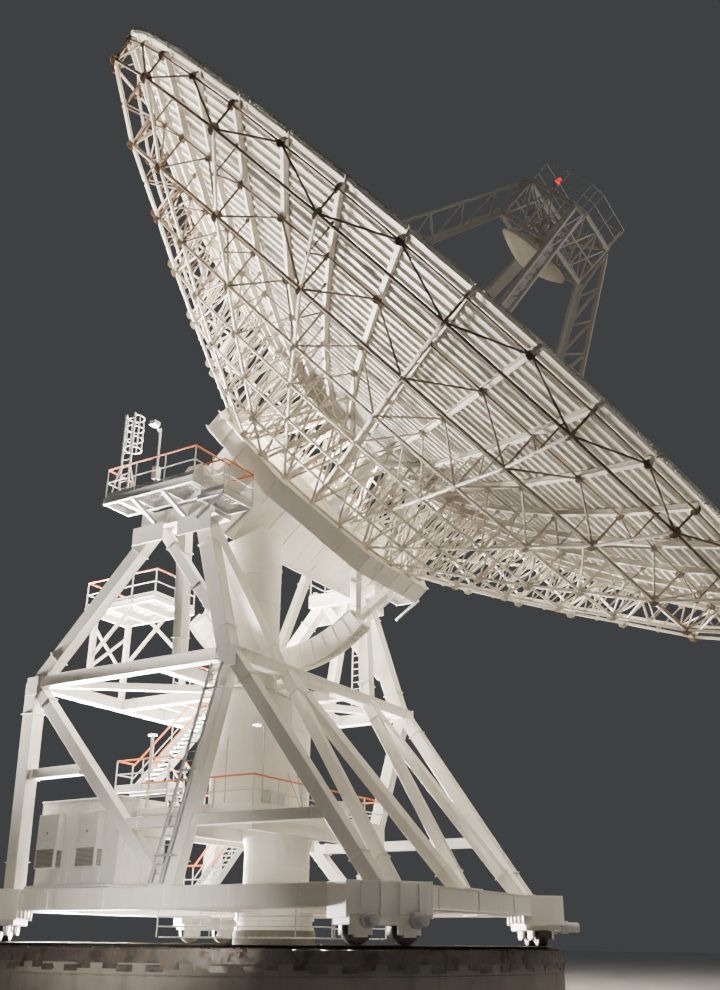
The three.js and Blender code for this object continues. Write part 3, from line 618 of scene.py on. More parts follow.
# Settings that a user would change.
class DishFinishSettings(bpy.types.PropertyGroup):
    """Colours of the paint and metal."""

    frame_paint: bpy.props.FloatVectorProperty(
        name="Frame paint", description="Colour of the turning frame and girder",
        default=(0.82, 0.79, 0.72), subtype="COLOR", min=0, max=1,
    )
    # A little darker and warmer than the panel paint: painted shade for the lattice behind the
    # panels.
    truss_paint: bpy.props.FloatVectorProperty(
        name="Back structure paint", description="Colour of the lattice behind the panels",
        default=(0.62, 0.57, 0.49), subtype="COLOR", min=0, max=1,
    )
    # Painted shade: the dark brown that the lattice webs turn to towards the rim.
    web_shade_paint: bpy.props.FloatVectorProperty(
        name="Shaded webs", description="Colour of the lattice webs towards the rim",
        default=(0.13, 0.09, 0.06), subtype="COLOR", min=0, max=1,
    )
    panel_paint: bpy.props.FloatVectorProperty(
        name="Panel paint", description="Colour of the reflector panels",
        default=(0.72, 0.69, 0.62), subtype="COLOR", min=0, max=1,
    )
    # Painted shade: the sheet backs between the stiffeners are darker than the panel paint to stand
    # for their shade.
    shaded_sheet_back: bpy.props.FloatVectorProperty(
        name="Shaded sheet backs", description="Colour of the panel sheets between their stiffeners",
        default=(0.42, 0.38, 0.32), subtype="COLOR", min=0, max=1,
    )
    mirror_paint: bpy.props.FloatVectorProperty(
        name="Small mirror", description="Colour of the small mirror",
        default=(0.62, 0.55, 0.42), subtype="COLOR", min=0, max=1,
    )
    rail_paint: bpy.props.FloatVectorProperty(
        name="Handrail paint", description="Colour of the top handrails",
        default=(0.6, 0.12, 0.008), subtype="COLOR", min=0, max=1,
    )
    zinc: bpy.props.FloatVectorProperty(
        name="Galvanised steel", description="Colour of the walkways, ladders and lower rails",
        default=(0.56, 0.57, 0.56), subtype="COLOR", min=0, max=1,
    )
    concrete: bpy.props.FloatVectorProperty(
        name="Concrete", description="Colour of the foundation",
        default=(0.19, 0.175, 0.15), subtype="COLOR", min=0, max=1,
    )
    roughness: bpy.props.FloatProperty(
        name="Paint roughness", description="Roughness of the white paint",
        default=0.5, min=0, max=1, subtype="FACTOR",
    )


class DishLatticeSettings(bpy.types.PropertyGroup):
    """Sizes of the lattice and the panel backs."""

    chord: bpy.props.FloatProperty(
        name="Chord tube", description="Diameter of the ribs' lower chord tubes",
        default=0.11, unit="LENGTH",
    )
    hoop: bpy.props.FloatProperty(
        name="Hoop tube", description="Diameter of the lower hoop tubes",
        default=0.095, unit="LENGTH",
    )
    web: bpy.props.FloatProperty(
        name="Web tube", description="Diameter of the posts and diagonals",
        default=0.068, unit="LENGTH",
    )
    joint: bpy.props.FloatProperty(
        name="Joint plate", description="Radius of a joint plate",
        default=0.2, unit="LENGTH",
    )
    stiffener_pitch: bpy.props.FloatProperty(
        name="Stiffener pitch", description="Distance between the ribs pressed on the panel backs",
        default=0.28, unit="LENGTH",
    )
    seam: bpy.props.FloatProperty(
        name="Panel seam", description="Gap between two panels",
        default=0.014, unit="LENGTH",
    )


class DishStageSettings(bpy.types.PropertyGroup):
    """Camera, light and floor."""

    lens: bpy.props.FloatProperty(
        name="Lens", description="Focal length with a 36 mm long side",
        default=37.457, unit="CAMERA",
    )
    camera_place: bpy.props.FloatVectorProperty(
        name="Camera", description="Where the camera stands",
        default=(-33.4066, -23.8980, 1.8128), subtype="TRANSLATION", unit="LENGTH",
    )
    floor: bpy.props.FloatVectorProperty(
        name="Floor", description="Colour of the floor",
        default=(0.74, 0.74, 0.73), subtype="COLOR", min=0, max=1,
    )
    sky: bpy.props.FloatProperty(
        name="Backdrop", description="Brightness of the plain backdrop",
        default=0.062, min=0, max=2,
    )
    key: bpy.props.FloatProperty(
        name="Key light", description="Strength of the soft light from the camera's side",
        default=0.05, min=0,
    )
    glow: bpy.props.FloatProperty(
        name="Fill lights", description="Strength of the large soft lights",
        default=1.0, min=0,
    )


def look(name):
    """Each finish is made once, when it is first needed."""
    finish = bpy.context.scene.dish_finish
    rough, dirt = finish.roughness, (0.30, 0.25, 0.18)
    truss, panel = tuple(finish.truss_paint), tuple(finish.panel_paint)
    makers = {
        "frame": lambda: painted("frame_paint", tuple(finish.frame_paint), dirt, rough, 0.22),
        "truss": lambda: painted("truss_paint", truss, dirt, rough, 0.3),
        # The web finish puts painted shade on the lattice webs, hoops and joint plates towards the
        # rim.
        "web": lambda: web_shade_paint(truss, tuple(finish.web_shade_paint), rough),
        "panel": lambda: painted("panel_paint", panel, dirt, 0.45, 0.3),
        # The sheet finish paints shade on the sheet backs between the stiffeners.
        "sheet": lambda: sheet_paint_and_shade(panel, tuple(finish.shaded_sheet_back), dirt),
        "mirror": lambda: painted("mirror_paint", tuple(finish.mirror_paint), dirt, 0.45, 0.2),
        "orange": lambda: painted(
            "handrail_paint", tuple(finish.rail_paint), (0.3, 0.1, 0.04), 0.4,
        ),
        "cabin": lambda: painted("cabin_paint", (0.60, 0.59, 0.55), dirt, 0.5, 0.3),
        "grey": lambda: painted("machine_paint", (0.40, 0.41, 0.40), (0.2, 0.18, 0.15), 0.45, 0.3),
        "zinc": lambda: galvanised_material(tuple(finish.zinc)),
        "concrete": lambda: concrete_material(tuple(finish.concrete)),
        "rail": lambda: rail_material((0.13, 0.12, 0.11)),
        "red_lamp": lambda: lamp_material("red_lamp", (0.85, 0.006, 0.006), 1.7),
        "flood_lamp": lambda: lamp_material("flood_lamp", (0.95, 0.95, 0.9), 8.0),
        "grille": grille_material,
        "floor": lambda: floor_material(tuple(bpy.context.scene.dish_stage.floor)),
    }
    if name not in LOOKS:
        LOOKS[name] = makers[name]()
    return LOOKS[name]


def dress_node(name, finish, bevel=0.02):
    """A CAD node that keeps its shape: soft edges and a better finish."""
    obj = NODES[name]
    obj.data.materials.clear()
    obj.data.materials.append(look(finish))
    weld = obj.modifiers.new("weld", "WELD")
    weld.merge_threshold = 0.001
    soft = obj.modifiers.new("soft_edges", "BEVEL")
    soft.width = bevel
    soft.segments = 2
    soft.limit_method = "ANGLE"
    soft.angle_limit = math.radians(30)
    soft.harden_normals = False


# Shared parts of the turning frame.
SIDES = (("left", -1), ("right", 1))
TOP_RAIL_D = 0.07
MID_RAIL_D = 0.045
POST_D = 0.055


def mirror_x(point, sign):
    """The point on the left or right side."""
    return Vector((point[0] * sign, point[1], point[2]))


def turned_object(name, profile, steps):
    """A turned piece about Z, traced point by point and spun."""
    deselect()
    bpy.ops.mesh.primitive_plane_add(size=0.01, location=(profile[0][0], 0, profile[0][1]))
    obj = bpy.context.object
    obj.name = name
    bpy.ops.object.transform_apply()
    bpy.ops.object.mode_set(mode="EDIT")
    bpy.ops.mesh.select_mode(type="VERT")
    bpy.ops.mesh.select_all(action="SELECT")
    bpy.ops.mesh.merge(type="CENTER")
    for (r0, z0), (r1, z1) in zip(profile, profile[1:]):
        bpy.ops.mesh.extrude_vertices_move(TRANSFORM_OT_translate={"value": (r1 - r0, 0, z1 - z0)})
    spin(steps, 2 * math.pi, UP)
    return obj


def moved(model, shift):
    """The same model at another place."""
    return model[0] + np.array(shift), model[1], model[2]


def ring_points(radius, count, z, start=0.0):
    """Evenly spaced points on a level circle."""
    return [polar(radius, start + 360 * k / count, z) for k in range(count)]


def bolts(matrices, size=0.035):
    """Hexagon bolt heads, each standing on its matrix."""
    bolt = new_rod(size, size * 1.2, 6, centre=(0, 0, size * 0.6), bevel=size * 0.12)
    return placed(take_model(bolt), matrices)


def facing(point, normal):
    """Matrix of a small part that stands on a face."""
    return disc(point, normal, 0.5, 1.0)


def collars(members, inset=0.9, thickness=0.035, lip=0.09):
    """Welded splice rings near both ends of each member."""
    result = []
    for a, b, w, h, up in members:
        a, b = Vector(a), Vector(b)
        along = (b - a).normalized()
        for place in (a + along * inset, b - along * inset):
            result.append((place, place + along * thickness, w + lip, h + lip, up))
    return result


def foot_plates(points, size, z=BEAM_Z1):
    """Base plates under legs."""
    half = size / 2
    return [slab(x - half, x + half, y - half, y + half, z, z + 0.045) for x, y in points]


def guard_rail(points, z0, height=1.1, spacing=1.25):
    """Posts with middle rails, top rails and toe boards along a route."""
    lower, top, boards = [], [], []
    up = lift(height)
    for number, (first, last) in enumerate(zip(points, points[1:])):
        a, b = Vector((*first, z0)), Vector((*last, z0))
        top.append((a + up, b + up, TOP_RAIL_D))
        lower.append((a + up * 0.52, b + up * 0.52, MID_RAIL_D))
        board = lift(0.075)
        boards.append((a + board, b + board, 0.014, 0.15, UP))
        count = max(1, round((b - a).length / spacing))
        for i in range(0 if number == 0 else 1, count + 1):
            p = a.lerp(b, i / count)
            lower.append((p, p + up * 0.975, POST_D))
    return lower, top, boards


def gathered(parts):
    """Joins the lists of several parts, kind by kind."""
    return [sum(kind, []) for kind in zip(*parts)]


def top_rail(name, members):
    """The painted handrail on top of a guard rail."""
    piece(name, [rails(members)], "orange", smooth=40)


def stair_rail(a, b, height=1.0):
    """Sloping handrail: posts and middle rail, and the top rail."""
    a, b, up = Vector(a), Vector(b), lift(height)
    lower = [(a + up * 0.5, b + up * 0.5, MID_RAIL_D)]
    for i in range(5):
        p = a.lerp(b, i / 4)
        lower.append((p, p + up * 0.98, MID_RAIL_D))
    return lower, [(a + up, b + up, TOP_RAIL_D)]


def grating(x0, x1, y0, y1, z, pitch=0.11):
    """Bar grating: thin upright slats across a walkway, tied by a few cross bars."""
    slats = []
    count = int((y1 - y0) / pitch)
    for i in range(count + 1):
        y = y0 + (y1 - y0) * i / count
        slats.append(((x0, y, z), (x1, y, z), 0.02, 0.045, UP))
    for x in np.arange(x0, x1 + 0.01, (x1 - x0) / max(1, round((x1 - x0) / 0.45))):
        slats.append(((x, y0, z + 0.003), (x, y1, z + 0.003), 0.025, 0.05, UP))
    return slats


# Foundation.
def make_foundation():
    """Ring wall with its cast grooves and steel edge, floor, pier, rail and sole plates."""
    edge, groove = 0.04, 0.025
    pit_floor, pier_r = 0.3, 1.5
    wall_face = []
    for z in (0.45, 0.95):
        wall_face += [
            (WALL_OUT_R, z - groove), (WALL_OUT_R - groove, z), (WALL_OUT_R, z + groove),
        ]
    profile = [(0, 0), (WALL_OUT_R - edge, 0), (WALL_OUT_R, edge)] + wall_face + [
        (WALL_OUT_R, WALL_TOP - edge), (WALL_OUT_R - edge, WALL_TOP), (WALL_IN_R + edge, WALL_TOP),
        (WALL_IN_R, WALL_TOP - edge), (WALL_IN_R, pit_floor + edge), (WALL_IN_R - edge, pit_floor),
        (pier_r + edge, pit_floor), (pier_r, pit_floor + edge), (pier_r, PIER_TOP - edge),
        (pier_r - edge, PIER_TOP), (0, PIER_TOP),
    ]
    wall = turned_object("ring_wall", profile, 128)
    finish_piece(wall, "concrete", ["pedestal"], body="foundation")
    rail_profile = [
        (9.38, WALL_TOP + 0.03), (10.12, WALL_TOP + 0.03), (10.12, 1.655), (9.9, 1.675),
        (9.87, 1.70),
        (10.02, 1.72), (10.04, 1.74), (10.02, TRACK_TOP), (9.48, TRACK_TOP), (9.46, 1.74),
        (9.48, 1.72), (9.63, 1.70), (9.6, 1.675), (9.38, 1.655), (9.38, WALL_TOP + 0.03),
    ]
    rail = turned_object("rail_profile", rail_profile, 128)
    soles, heads = [], []
    for k in range(72):
        out = polar(1, 5 * k, 0)
        a, b = out * 9.15, out * 10.32
        a.z = b.z = WALL_TOP + 0.016
        soles.append((a, b, 0.34, 0.03, UP))
        across = polar(1, 5 * k + 90, 0)
        for radius in (9.26, 10.2):
            for shift in (-0.1, 0.1):
                place = out * radius + across * shift
                place.z = WALL_TOP + 0.03
                heads.append(facing(place, UP))
    sets = [take_model(rail), plates(soles), bolts(heads)]
    piece("rail_ring", sets, "rail", ["azimuth_track"], body="foundation")
    band_profile = [
        (10.2, 1.602), (10.372, 1.602), (10.372, 1.26), (BAND_R, 1.26), (BAND_R, 1.622),
        (10.2, 1.622), (10.2, 1.602),
    ]
    band = turned_object("wall_edge_band", band_profile, 128)
    teeth = []
    for k in range(72):
        for z, step in ((1.2, 0), (1.13, 2.5)):
            if (k + int(step)) % 3 == 0:
                continue
            p, up = polar(10.38, 5 * k + step, z), lift(0.09)
            teeth.append((p - up, p + up, 0.022, 0.5, polar(1, 5 * k + 90 + step, 0)))
    piece("wall_steel_edge", [take_model(band), plates(teeth)], "rail", body="foundation")


# Wheels and base frame.
TRUCK_ANGLE = math.degrees(math.atan2(CORNER_Y, CORNER_X))
TRUCK_PLACES = {
    "front_left": 180 + TRUCK_ANGLE,
    "front_right": -TRUCK_ANGLE,
    "back_left": 180 - TRUCK_ANGLE,
    "back_right": TRUCK_ANGLE,
}


def make_wheel_trucks():
    """Four trucks: box head, cheeks, drive units, and wheels on their axles."""
    axle_y, wheel_r = 0.75, 0.45
    head = take_model(new_box((1.5, 2.6, 0.9), centre=(0, 0, 3.0), bevel=0.03, segments=2))
    sill = take_model(new_box((1.3, 2.4, 0.3), centre=(0, 0, 2.42), bevel=0.03))
    sets = [head, sill]
    cheeks = []
    for y in (-axle_y, axle_y):
        for x in (-0.36, 0.36):
            cheeks.append(slab(x - 0.05, x + 0.05, y - 0.36, y + 0.36, 2.02, 2.5))
            cheeks.append(slab(x - 0.07, x + 0.07, y - 0.2, y + 0.2, 1.96, 2.3))
    cheeks += [slab(-0.75, 0.75, y - 0.03, y + 0.03, 2.46, 3.46) for y in (-1.32, 1.32)]
    for x in (-0.78, 0.78):
        for y in (-0.9, -0.3, 0.3, 0.9):
            cheeks.append(slab(x - 0.035, x + 0.035, y - 0.02, y + 0.02, 2.5, 3.4))
    sets.append(plates(cheeks))
    wheel_profile = [
        (0, -0.24), (0.12, -0.24), (0.13, -0.2), (0.3, -0.17), (0.4, -0.18), (0.44, -0.16),
        (wheel_r, -0.13), (wheel_r, 0.13), (0.44, 0.16), (0.4, 0.18), (0.3, 0.17), (0.13, 0.2),
        (0.12, 0.24), (0, 0.24),
    ]
    wheel = take_model(turned_object("wheel", wheel_profile, 40))
    lay = Matrix.Rotation(math.pi / 2, 4, "Y")
    axle_z = TRACK_TOP + wheel_r + 0.002
    spots = [Matrix.Translation((0, y, axle_z)) @ lay for y in (-axle_y, axle_y)]
    wheels = placed(wheel, spots)
    motor_profile = [
        (0, 0), (0.2, 0), (0.22, 0.02), (0.22, 0.24), (0.17, 0.27), (0.17, 0.62), (0.15, 0.66),
        (0.06, 0.68), (0, 0.68),
    ]
    motor = take_model(turned_object("motor", motor_profile, 24))
    tip = Matrix.Rotation(math.radians(-90 + 8), 4, "X") @ lay
    spots = [Matrix.Translation((0.78, y, 2.4)) @ tip for y in (-axle_y, axle_y)]
    drive = placed(motor, spots)
    for place, degrees in TRUCK_PLACES.items():
        turn = Matrix.Rotation(math.radians(degrees), 4, "Z") @ Matrix.Translation((TRACK_R, 0, 0))
        piece(f"truck_{place}", sets, "frame", [f"wheel_truck_{place}"], turn=turn)
        piece(f"wheels_{place}", [wheels], "rail", turn=turn)
        piece(f"drives_{place}", [drive], "grey", turn=turn)


def web_stiffeners(a, b, width, depth, spacing=2.6):
    """Upright ribs on both webs of a level girder."""
    a, b = Vector(a), Vector(b)
    along = (b - a).normalized()
    side = Vector(UP).cross(along)
    count = round((b - a).length / spacing)
    result = []
    for i in range(1, count):
        middle = a.lerp(b, i / count)
        for sign in (-1, 1):
            out = middle + side * sign * (width / 2 - 0.02)
            result.append((out - along * 0.011, out + along * 0.011, 0.06, depth - 0.06, UP))
    return result


def make_base_frame():
    """Base girders, their cross and centre bearing, and the walkway round the pier."""
    middle = (BEAM_Z0 + BEAM_Z1) / 2
    depth = BEAM_Z1 - BEAM_Z0
    girders, ribs = [], []
    runs = [
        ((-CORNER_X, -CORNER_Y), (-CORNER_X, CORNER_Y), 0.9, depth),
        ((CORNER_X, -CORNER_Y), (CORNER_X, CORNER_Y), 0.9, depth),
        ((-CORNER_X, -CORNER_Y), (CORNER_X, -CORNER_Y), 0.9, depth),
        ((-CORNER_X, CORNER_Y), (CORNER_X, CORNER_Y), 0.9, depth),
        ((-CORNER_X + 0.4, 0), (CORNER_X - 0.4, 0), 0.8, 0.6),
        ((0, -CORNER_Y + 0.4), (0, CORNER_Y - 0.4), 0.79, 0.59),
    ]
    for start, end, width, height in runs:
        level = BEAM_Z0 + height / 2
        a, b = Vector((*start, level)), Vector((*end, level))
        girders.append((a, b, width, height, UP))
        ribs += web_stiffeners(a, b, width, height)
    for x, y, degrees in ((1, 1, 45), (-1, 1, 135), (-1, -1, 225), (1, -1, 315)):
        corner = Vector((x * (CORNER_X - 1.25), y * (CORNER_Y - 1.25), middle))
        for sign in (-1, 1):
            end = corner + polar(1.25, degrees + 90 * sign, 0)
            ribs.append((corner, end, 0.03, depth - 0.04, UP))
        ribs.append((
            corner - lift(depth / 2), corner - lift(depth / 2 - 0.03), 1.7, 1.7,
            polar(1, degrees, 0),
        ))
    bearing_profile = [
        (0, PIER_TOP + 0.01), (1.45, PIER_TOP + 0.01), (1.45, 2.3), (1.38, 2.32), (1.38, 2.5),
        (1.45, 2.52), (1.45, 3.4), (1.43, BEAM_Z1), (0, BEAM_Z1),
    ]
    bearing = take_model(turned_object("bearing", bearing_profile, 64))
    nodes = [f"base_beam_{place}" for place in ("left", "right", "front", "back")]
    piece("base_frame", [
        heavy_girders(girders), plates(ribs), bearing,
    ], "frame", nodes + ["base_cross"])
    make_pier_walkway()


def make_pier_walkway():
    """The walkway round the pier, with its posts and rails."""
    level, inner, outer = 1.95, 0.6, 3.0
    route = ((inner, outer), (outer, outer), (outer, inner))
    slats, lower, top = [], [], []
    heights = ((2.3, MID_RAIL_D, lower), (2.62, MID_RAIL_D, lower), (2.98, TOP_RAIL_D, top))
    for k in range(4):
        turn = Matrix.Rotation(math.radians(90 * k), 3, "Z")
        for i in range(9):
            y = 0.62 + i * 0.27
            a, b = turn @ Vector((0.62, y, level)), turn @ Vector((3.05, y, level))
            slats.append((a, b, 0.1, 0.05, UP))
        for p in route:
            foot = turn @ Vector((*p, level))
            lower.append((foot, foot + lift(1.35), POST_D))
        for first, last in zip(route, route[1:]):
            for z, size, members in heights:
                members.append((turn @ Vector((*first, z)), turn @ Vector((*last, z)), size))
    piece("pier_walkway", [plates(slats), rails(lower)], "zinc", smooth=40)
    top_rail("pier_walkway_top_rail", top)


# Braced frames.
def make_side_frames():
    """Both side frames: back post, long diagonal, two front legs and two level ties."""
    for side, sign in SIDES:
        corner = mirror_x((RING_X, RING_BACK, RING_Z), sign)
        front = mirror_x((RING_X, RING_FRONT, RING_Z), sign)
        middle_foot = mirror_x((5.92, 0, 3.2), sign)
        outer = ACROSS
        legs = [
            (corner, mirror_x((5.56, 7.7, 3.3), sign), 0.55, 0.55, outer),
            (corner, middle_foot, 0.44, 0.44, outer),
            (front, middle_foot, 0.48, 0.48, outer),
            (front, mirror_x((5.56, -7.7, 3.3), sign), 0.48, 0.47, outer),
        ]
        ties = [
            (mirror_x((5.85, 7.56, 7.5), sign), mirror_x((5.98, 3.96, 7.5), sign), 0.36, 0.36, UP),
            (mirror_x((5.93, 2.05, 5.5), sign), mirror_x((5.7, -5.95, 5.5), sign), 0.4, 0.36, UP),
        ]
        feet = foot_plates([(sign * 5.6, 7.65), (sign * 5.9, 0.1), (sign * 5.6, -7.6)], 0.88)
        gussets = []
        for x in (sign * (RING_X + 0.262), sign * (RING_X - 0.262)):
            for y in (RING_BACK, RING_FRONT):
                low, high = RING_Z - 0.5, RING_Z + 0.2
                gussets.append(slab(x - 0.015, x + 0.015, y - 0.36, y + 0.22, low, high))
        piece(f"braced_frame_{side}", [
            beams(legs + ties), plates(collars(legs, 1.15) + collars(ties, 0.5) + feet + gussets),
        ], "frame", [f"side_frame_{side}"])


def make_front_legs():
    """Four legs from the inner ring nodes to the corners and the front middle."""
    legs = []
    for _, sign in SIDES:
        node = mirror_x((RING_INNER_X, RING_FRONT, RING_Z), sign)
        legs.append((node, mirror_x((4.7, -7.8, 3.3), sign), 0.38, 0.38, BACKWARD))
        legs.append((node, mirror_x((0.15, -7.83, 3.2), sign), 0.4, 0.4, BACKWARD))
    feet = foot_plates([(-4.7, -7.75), (4.7, -7.75), (0, -7.8)], 0.88)
    piece("inner_front_legs", [
        beams(legs), plates(collars(legs, 1.15) + feet),
    ], "frame", ["front_legs"])


def make_ring():
    """Middle floor: chords, grid, joists and open grating walks."""
    chords = []
    for _, sign in SIDES:
        x = sign * RING_X
        a, b = (x, RING_FRONT - CHORD / 2, RING_Z), (x, RING_BACK + CHORD / 2, RING_Z)
        chords.append((a, b, CHORD, CHORD, UP))
    inner = RING_X - CHORD / 2
    for y in (RING_FRONT, RING_BACK):
        chords.append(((-inner, y, RING_Z), (inner, y, RING_Z), CHORD, CHORD, UP))
    grid = [((-inner, 1.15, RING_Z), (inner, 1.15, RING_Z), 0.4, 0.43, UP)]
    for x in (-1.3, 1.3):
        a, b = (x, RING_FRONT + CHORD / 2, RING_Z), (x, RING_BACK - CHORD / 2, RING_Z)
        grid.append((a, b, 0.4, 0.43, UP))
    grid.append(((-1.3, -0.5, RING_Z), (1.3, -0.5, RING_Z), 0.4, 0.43, UP))
    braces = []
    for _, sign in SIDES:
        for y, end in ((7.2, 1.3), (-1.9, 1.0)):
            a, b = mirror_x((5.8, y, RING_Z), sign), mirror_x((1.4, end, RING_Z), sign)
            braces.append((a, b, 0.26, 0.26, UP))
    joists = []
    for y in (2.4, 3.68, 4.92, 6.0):
        joists.append(((-1.2, y, RING_Z + 0.08), (1.2, y, RING_Z + 0.08), 0.14, 0.2, UP))
    walk = grating(-5.7, -1.6, 1.4, 2.1, RING_TOP, 0.12)
    lower, top = [], []
    for near, far, edge in ((1.4, 3.75, 3.7), (4.85, 7.1, 4.9)):
        walk += grating(-1.1, 1.1, near, far, RING_TOP + 0.02)
        rail = guard_rail([(-1.05, edge), (1.05, edge)], RING_TOP + 0.03, 1.1)
        lower += rail[0]
        top += rail[1]
        walk += rail[2]
    piece("middle_floor", [
        beams(chords + grid + braces + joists),
        plates(collars(chords, 0.75, lip=0.05) + collars(grid, 0.6, lip=0.04)),
    ], "frame", [
        "ring_beam_left", "ring_beam_right", "ring_beam_front", "ring_beam_back", "ring_grid",
    ])
    piece("middle_floor_grating", [plates(walk), rails(lower)], "zinc")
    top_rail("middle_floor_top_rail", top)


def make_towers():
    """Both bearing towers: head girder, five legs, and the ladder inside the right one."""
    for side, sign in SIDES:
        x, top = sign * 5.8, 16.5
        head = [((x, -1.1, 16.6), (x, 2.5, 16.6), 1.0, 0.6, UP)]
        legs = [
            ((5.8, 2.0, top), (6.06, 7.25, 10.9), 0.5, 0.48, ACROSS),
            ((5.8, -0.25, top), (6.06, -2.03, 10.7), 0.62, 0.52, ACROSS),
            ((5.75, -0.25, top), (3.01, -2.13, 10.7), 0.48, 0.46, BACKWARD),
            ((5.8, 1.9, top), (6.0, -1.1, 12.7), 0.38, 0.38, ACROSS),
            ((5.8, 0.7, top), (5.0, 1.15, 10.9), 0.42, 0.4, BACKWARD),
        ]
        legs = [(mirror_x(a, sign), mirror_x(b, sign), w, h, up) for a, b, w, h, up in legs]
        out = sign * 6.32
        details = []
        for y in (-0.8, 0.2, 1.2, 2.2):
            details.append(slab(out - 0.02, out + 0.02, y - 0.02, y + 0.02, 16.34, 16.86))
        for y0, y1 in ((-1.05, 0.55), (1.25, 2.75)):
            details.append(slab(out - 0.12, out - 0.08, y0, y1, 15.65, 16.35))
        sets = [beams(head + legs), plates(collars(legs, 1.25) + details)]
        if sign > 0:
            steps = [((5.05, y, 11.3), (5.15, y, 16.25), 0.06) for y in (-0.55, -0.1)]
            for i in range(16):
                z = 11.5 + 0.3 * i
                x0 = 5.05 + 0.1 * (z - 11.3) / 4.95
                steps.append(((x0, -0.55, z), (x0, -0.1, z), 0.035))
            sets.append(rails(steps))
        piece(f"bearing_tower_{side}", sets, "frame", [f"tower_{side}"])


def make_bearings():
    """Rings and bolts round both trunnions, on the bearing blocks."""
    lay = Matrix.Rotation(math.pi / 2, 4, "Y")
    ring_profile = [
        (0.46, -0.04), (0.68, -0.04), (0.7, -0.02), (0.7, 0.03), (0.52, 0.05), (0.46, 0.05),
        (0.46, -0.04),
    ]
    ring = take_model(turned_object("ring", ring_profile, 48))
    for side, sign in SIDES:
        dress_node(f"elevation_bearing_{side}", "frame", 0.03)
        spots, heads = [], []
        for x, away in ((6.34, 1), (5.36, -1)):
            flip = lay if away * sign > 0 else Matrix.Rotation(-math.pi / 2, 4, "Y")
            spots.append(Matrix.Translation((sign * x, 0, AXIS_Z)) @ flip)
            for k in range(14):
                p = polar(0.6, 360 * k / 14, 0)
                seat = (sign * (x + 0.04 * away), p.x, AXIS_Z + p.y)
                heads.append(facing(seat, (sign * away, 0, 0)))
        fins = []
        for y in (-0.8, 0.8):
            a, b = sorted((sign * 5.45, sign * 6.25))
            fins.append(slab(a, b, y - 0.02, y + 0.02, 16.92, 17.5))
        piece(f"bearing_rings_{side}", [
            placed(ring, spots), bolts(heads, 0.04), plates(fins),
        ], "frame")


def make_platforms():
    """Platforms beside the bearings: framing, grating, guard rails and the front landing."""
    for side, sign in SIDES:
        x_in, x_out = sign * 6.4, sign * 7.68
        low, high = sorted((x_in, x_out))
        left, right = sorted((sign * 5.62, sign * 7.3))
        frame_parts = [((x, -1.2, 17.12), (x, 3.2, 17.12), 0.12, 0.3, UP) for x in (x_in, x_out)]
        for y in (-1.14, 0.3, 1.75, 3.14):
            frame_parts.append(((low, y, 17.1), (high, y, 17.1), 0.1, 0.24, UP))
        frame_parts += [((left, y, 16.5), (right, y, 16.5), 0.08, 0.2, UP) for y in (-1.2, -2.3)]
        frame_parts += [((x, -2.3, 16.5), (x, -1.1, 16.5), 0.08, 0.2, UP) for x in (left, right)]
        hangers = []
        for y in (0.3, 1.75):
            hangers.append(((sign * 6.3, y, 16.4), (x_out, y, 17.0), 0.16, 0.16, BACKWARD))
        for y, width in ((2.39, 0.18), (-1.03, 0.1)):
            hangers.append(((sign * 5.6, y, 17.05), (x_out, y, 17.05), width, 0.2, UP))
        hangers += [((x, -2.2, 16.42), (x, -1.1, 15.7), 0.1, 0.1, ACROSS) for x in (left, right)]
        floor = grating(low + 0.05, high - 0.05, -1.1, 3.1, 17.27, 0.1)
        floor += grating(left, right, -2.26, -1.24, 16.62, 0.1)
        end = sign * 7.66
        walk = [(sign * 6.4, 3.16), (end, 3.16), (end, -1.16), (sign * 5.66, -1.16)]
        landing = [(left, -1.25), (left, -2.28), (right, -2.28), (right, -1.25)]
        lower, top, boards = gathered([
            guard_rail(walk, 17.3, 1.15), guard_rail(landing, 16.64, 1.15),
        ])
        piece(f"bearing_walk_{side}", [
            beams(frame_parts + hangers), plates(floor + boards), rails(lower),
        ], "zinc", [f"bearing_platform_{side}"], smooth=35)
        top_rail(f"bearing_walk_top_rail_{side}", top)


# Central tubes and lower deck.
def seam_strips(radius, degrees, z0, z1):
    """Upright weld strips on a round shell."""
    strips = []
    for angle in degrees:
        p = polar(radius - 0.004, angle, z0)
        strips.append((p, Vector((p.x, p.y, z1)), 0.05, 0.02, polar(1, angle, 0)))
    return strips


DRUM_BACK = Vector((-2.45, -0.15, 0))
DRUM_FRONT = Vector((-0.2, 0, 0))


def drum_shell(radius, z0, z1):
    """A shell with two round ends: a cylinder whose one half is drawn out."""
    deselect()
    bpy.ops.mesh.primitive_cylinder_add(
        vertices=64, radius=radius, depth=z1 - z0, location=(0, 0, (z0 + z1) / 2),
    )
    obj = bpy.context.object
    bpy.ops.object.transform_apply()
    model = take_model(obj)
    reach = DRUM_BACK - DRUM_FRONT
    heading = reach.normalized()
    points = model[0].copy()
    behind = points[:, 0] * heading.x + points[:, 1] * heading.y > 1e-6
    points[behind] += np.array(reach)
    return moved((points, model[1], model[2]), DRUM_FRONT)


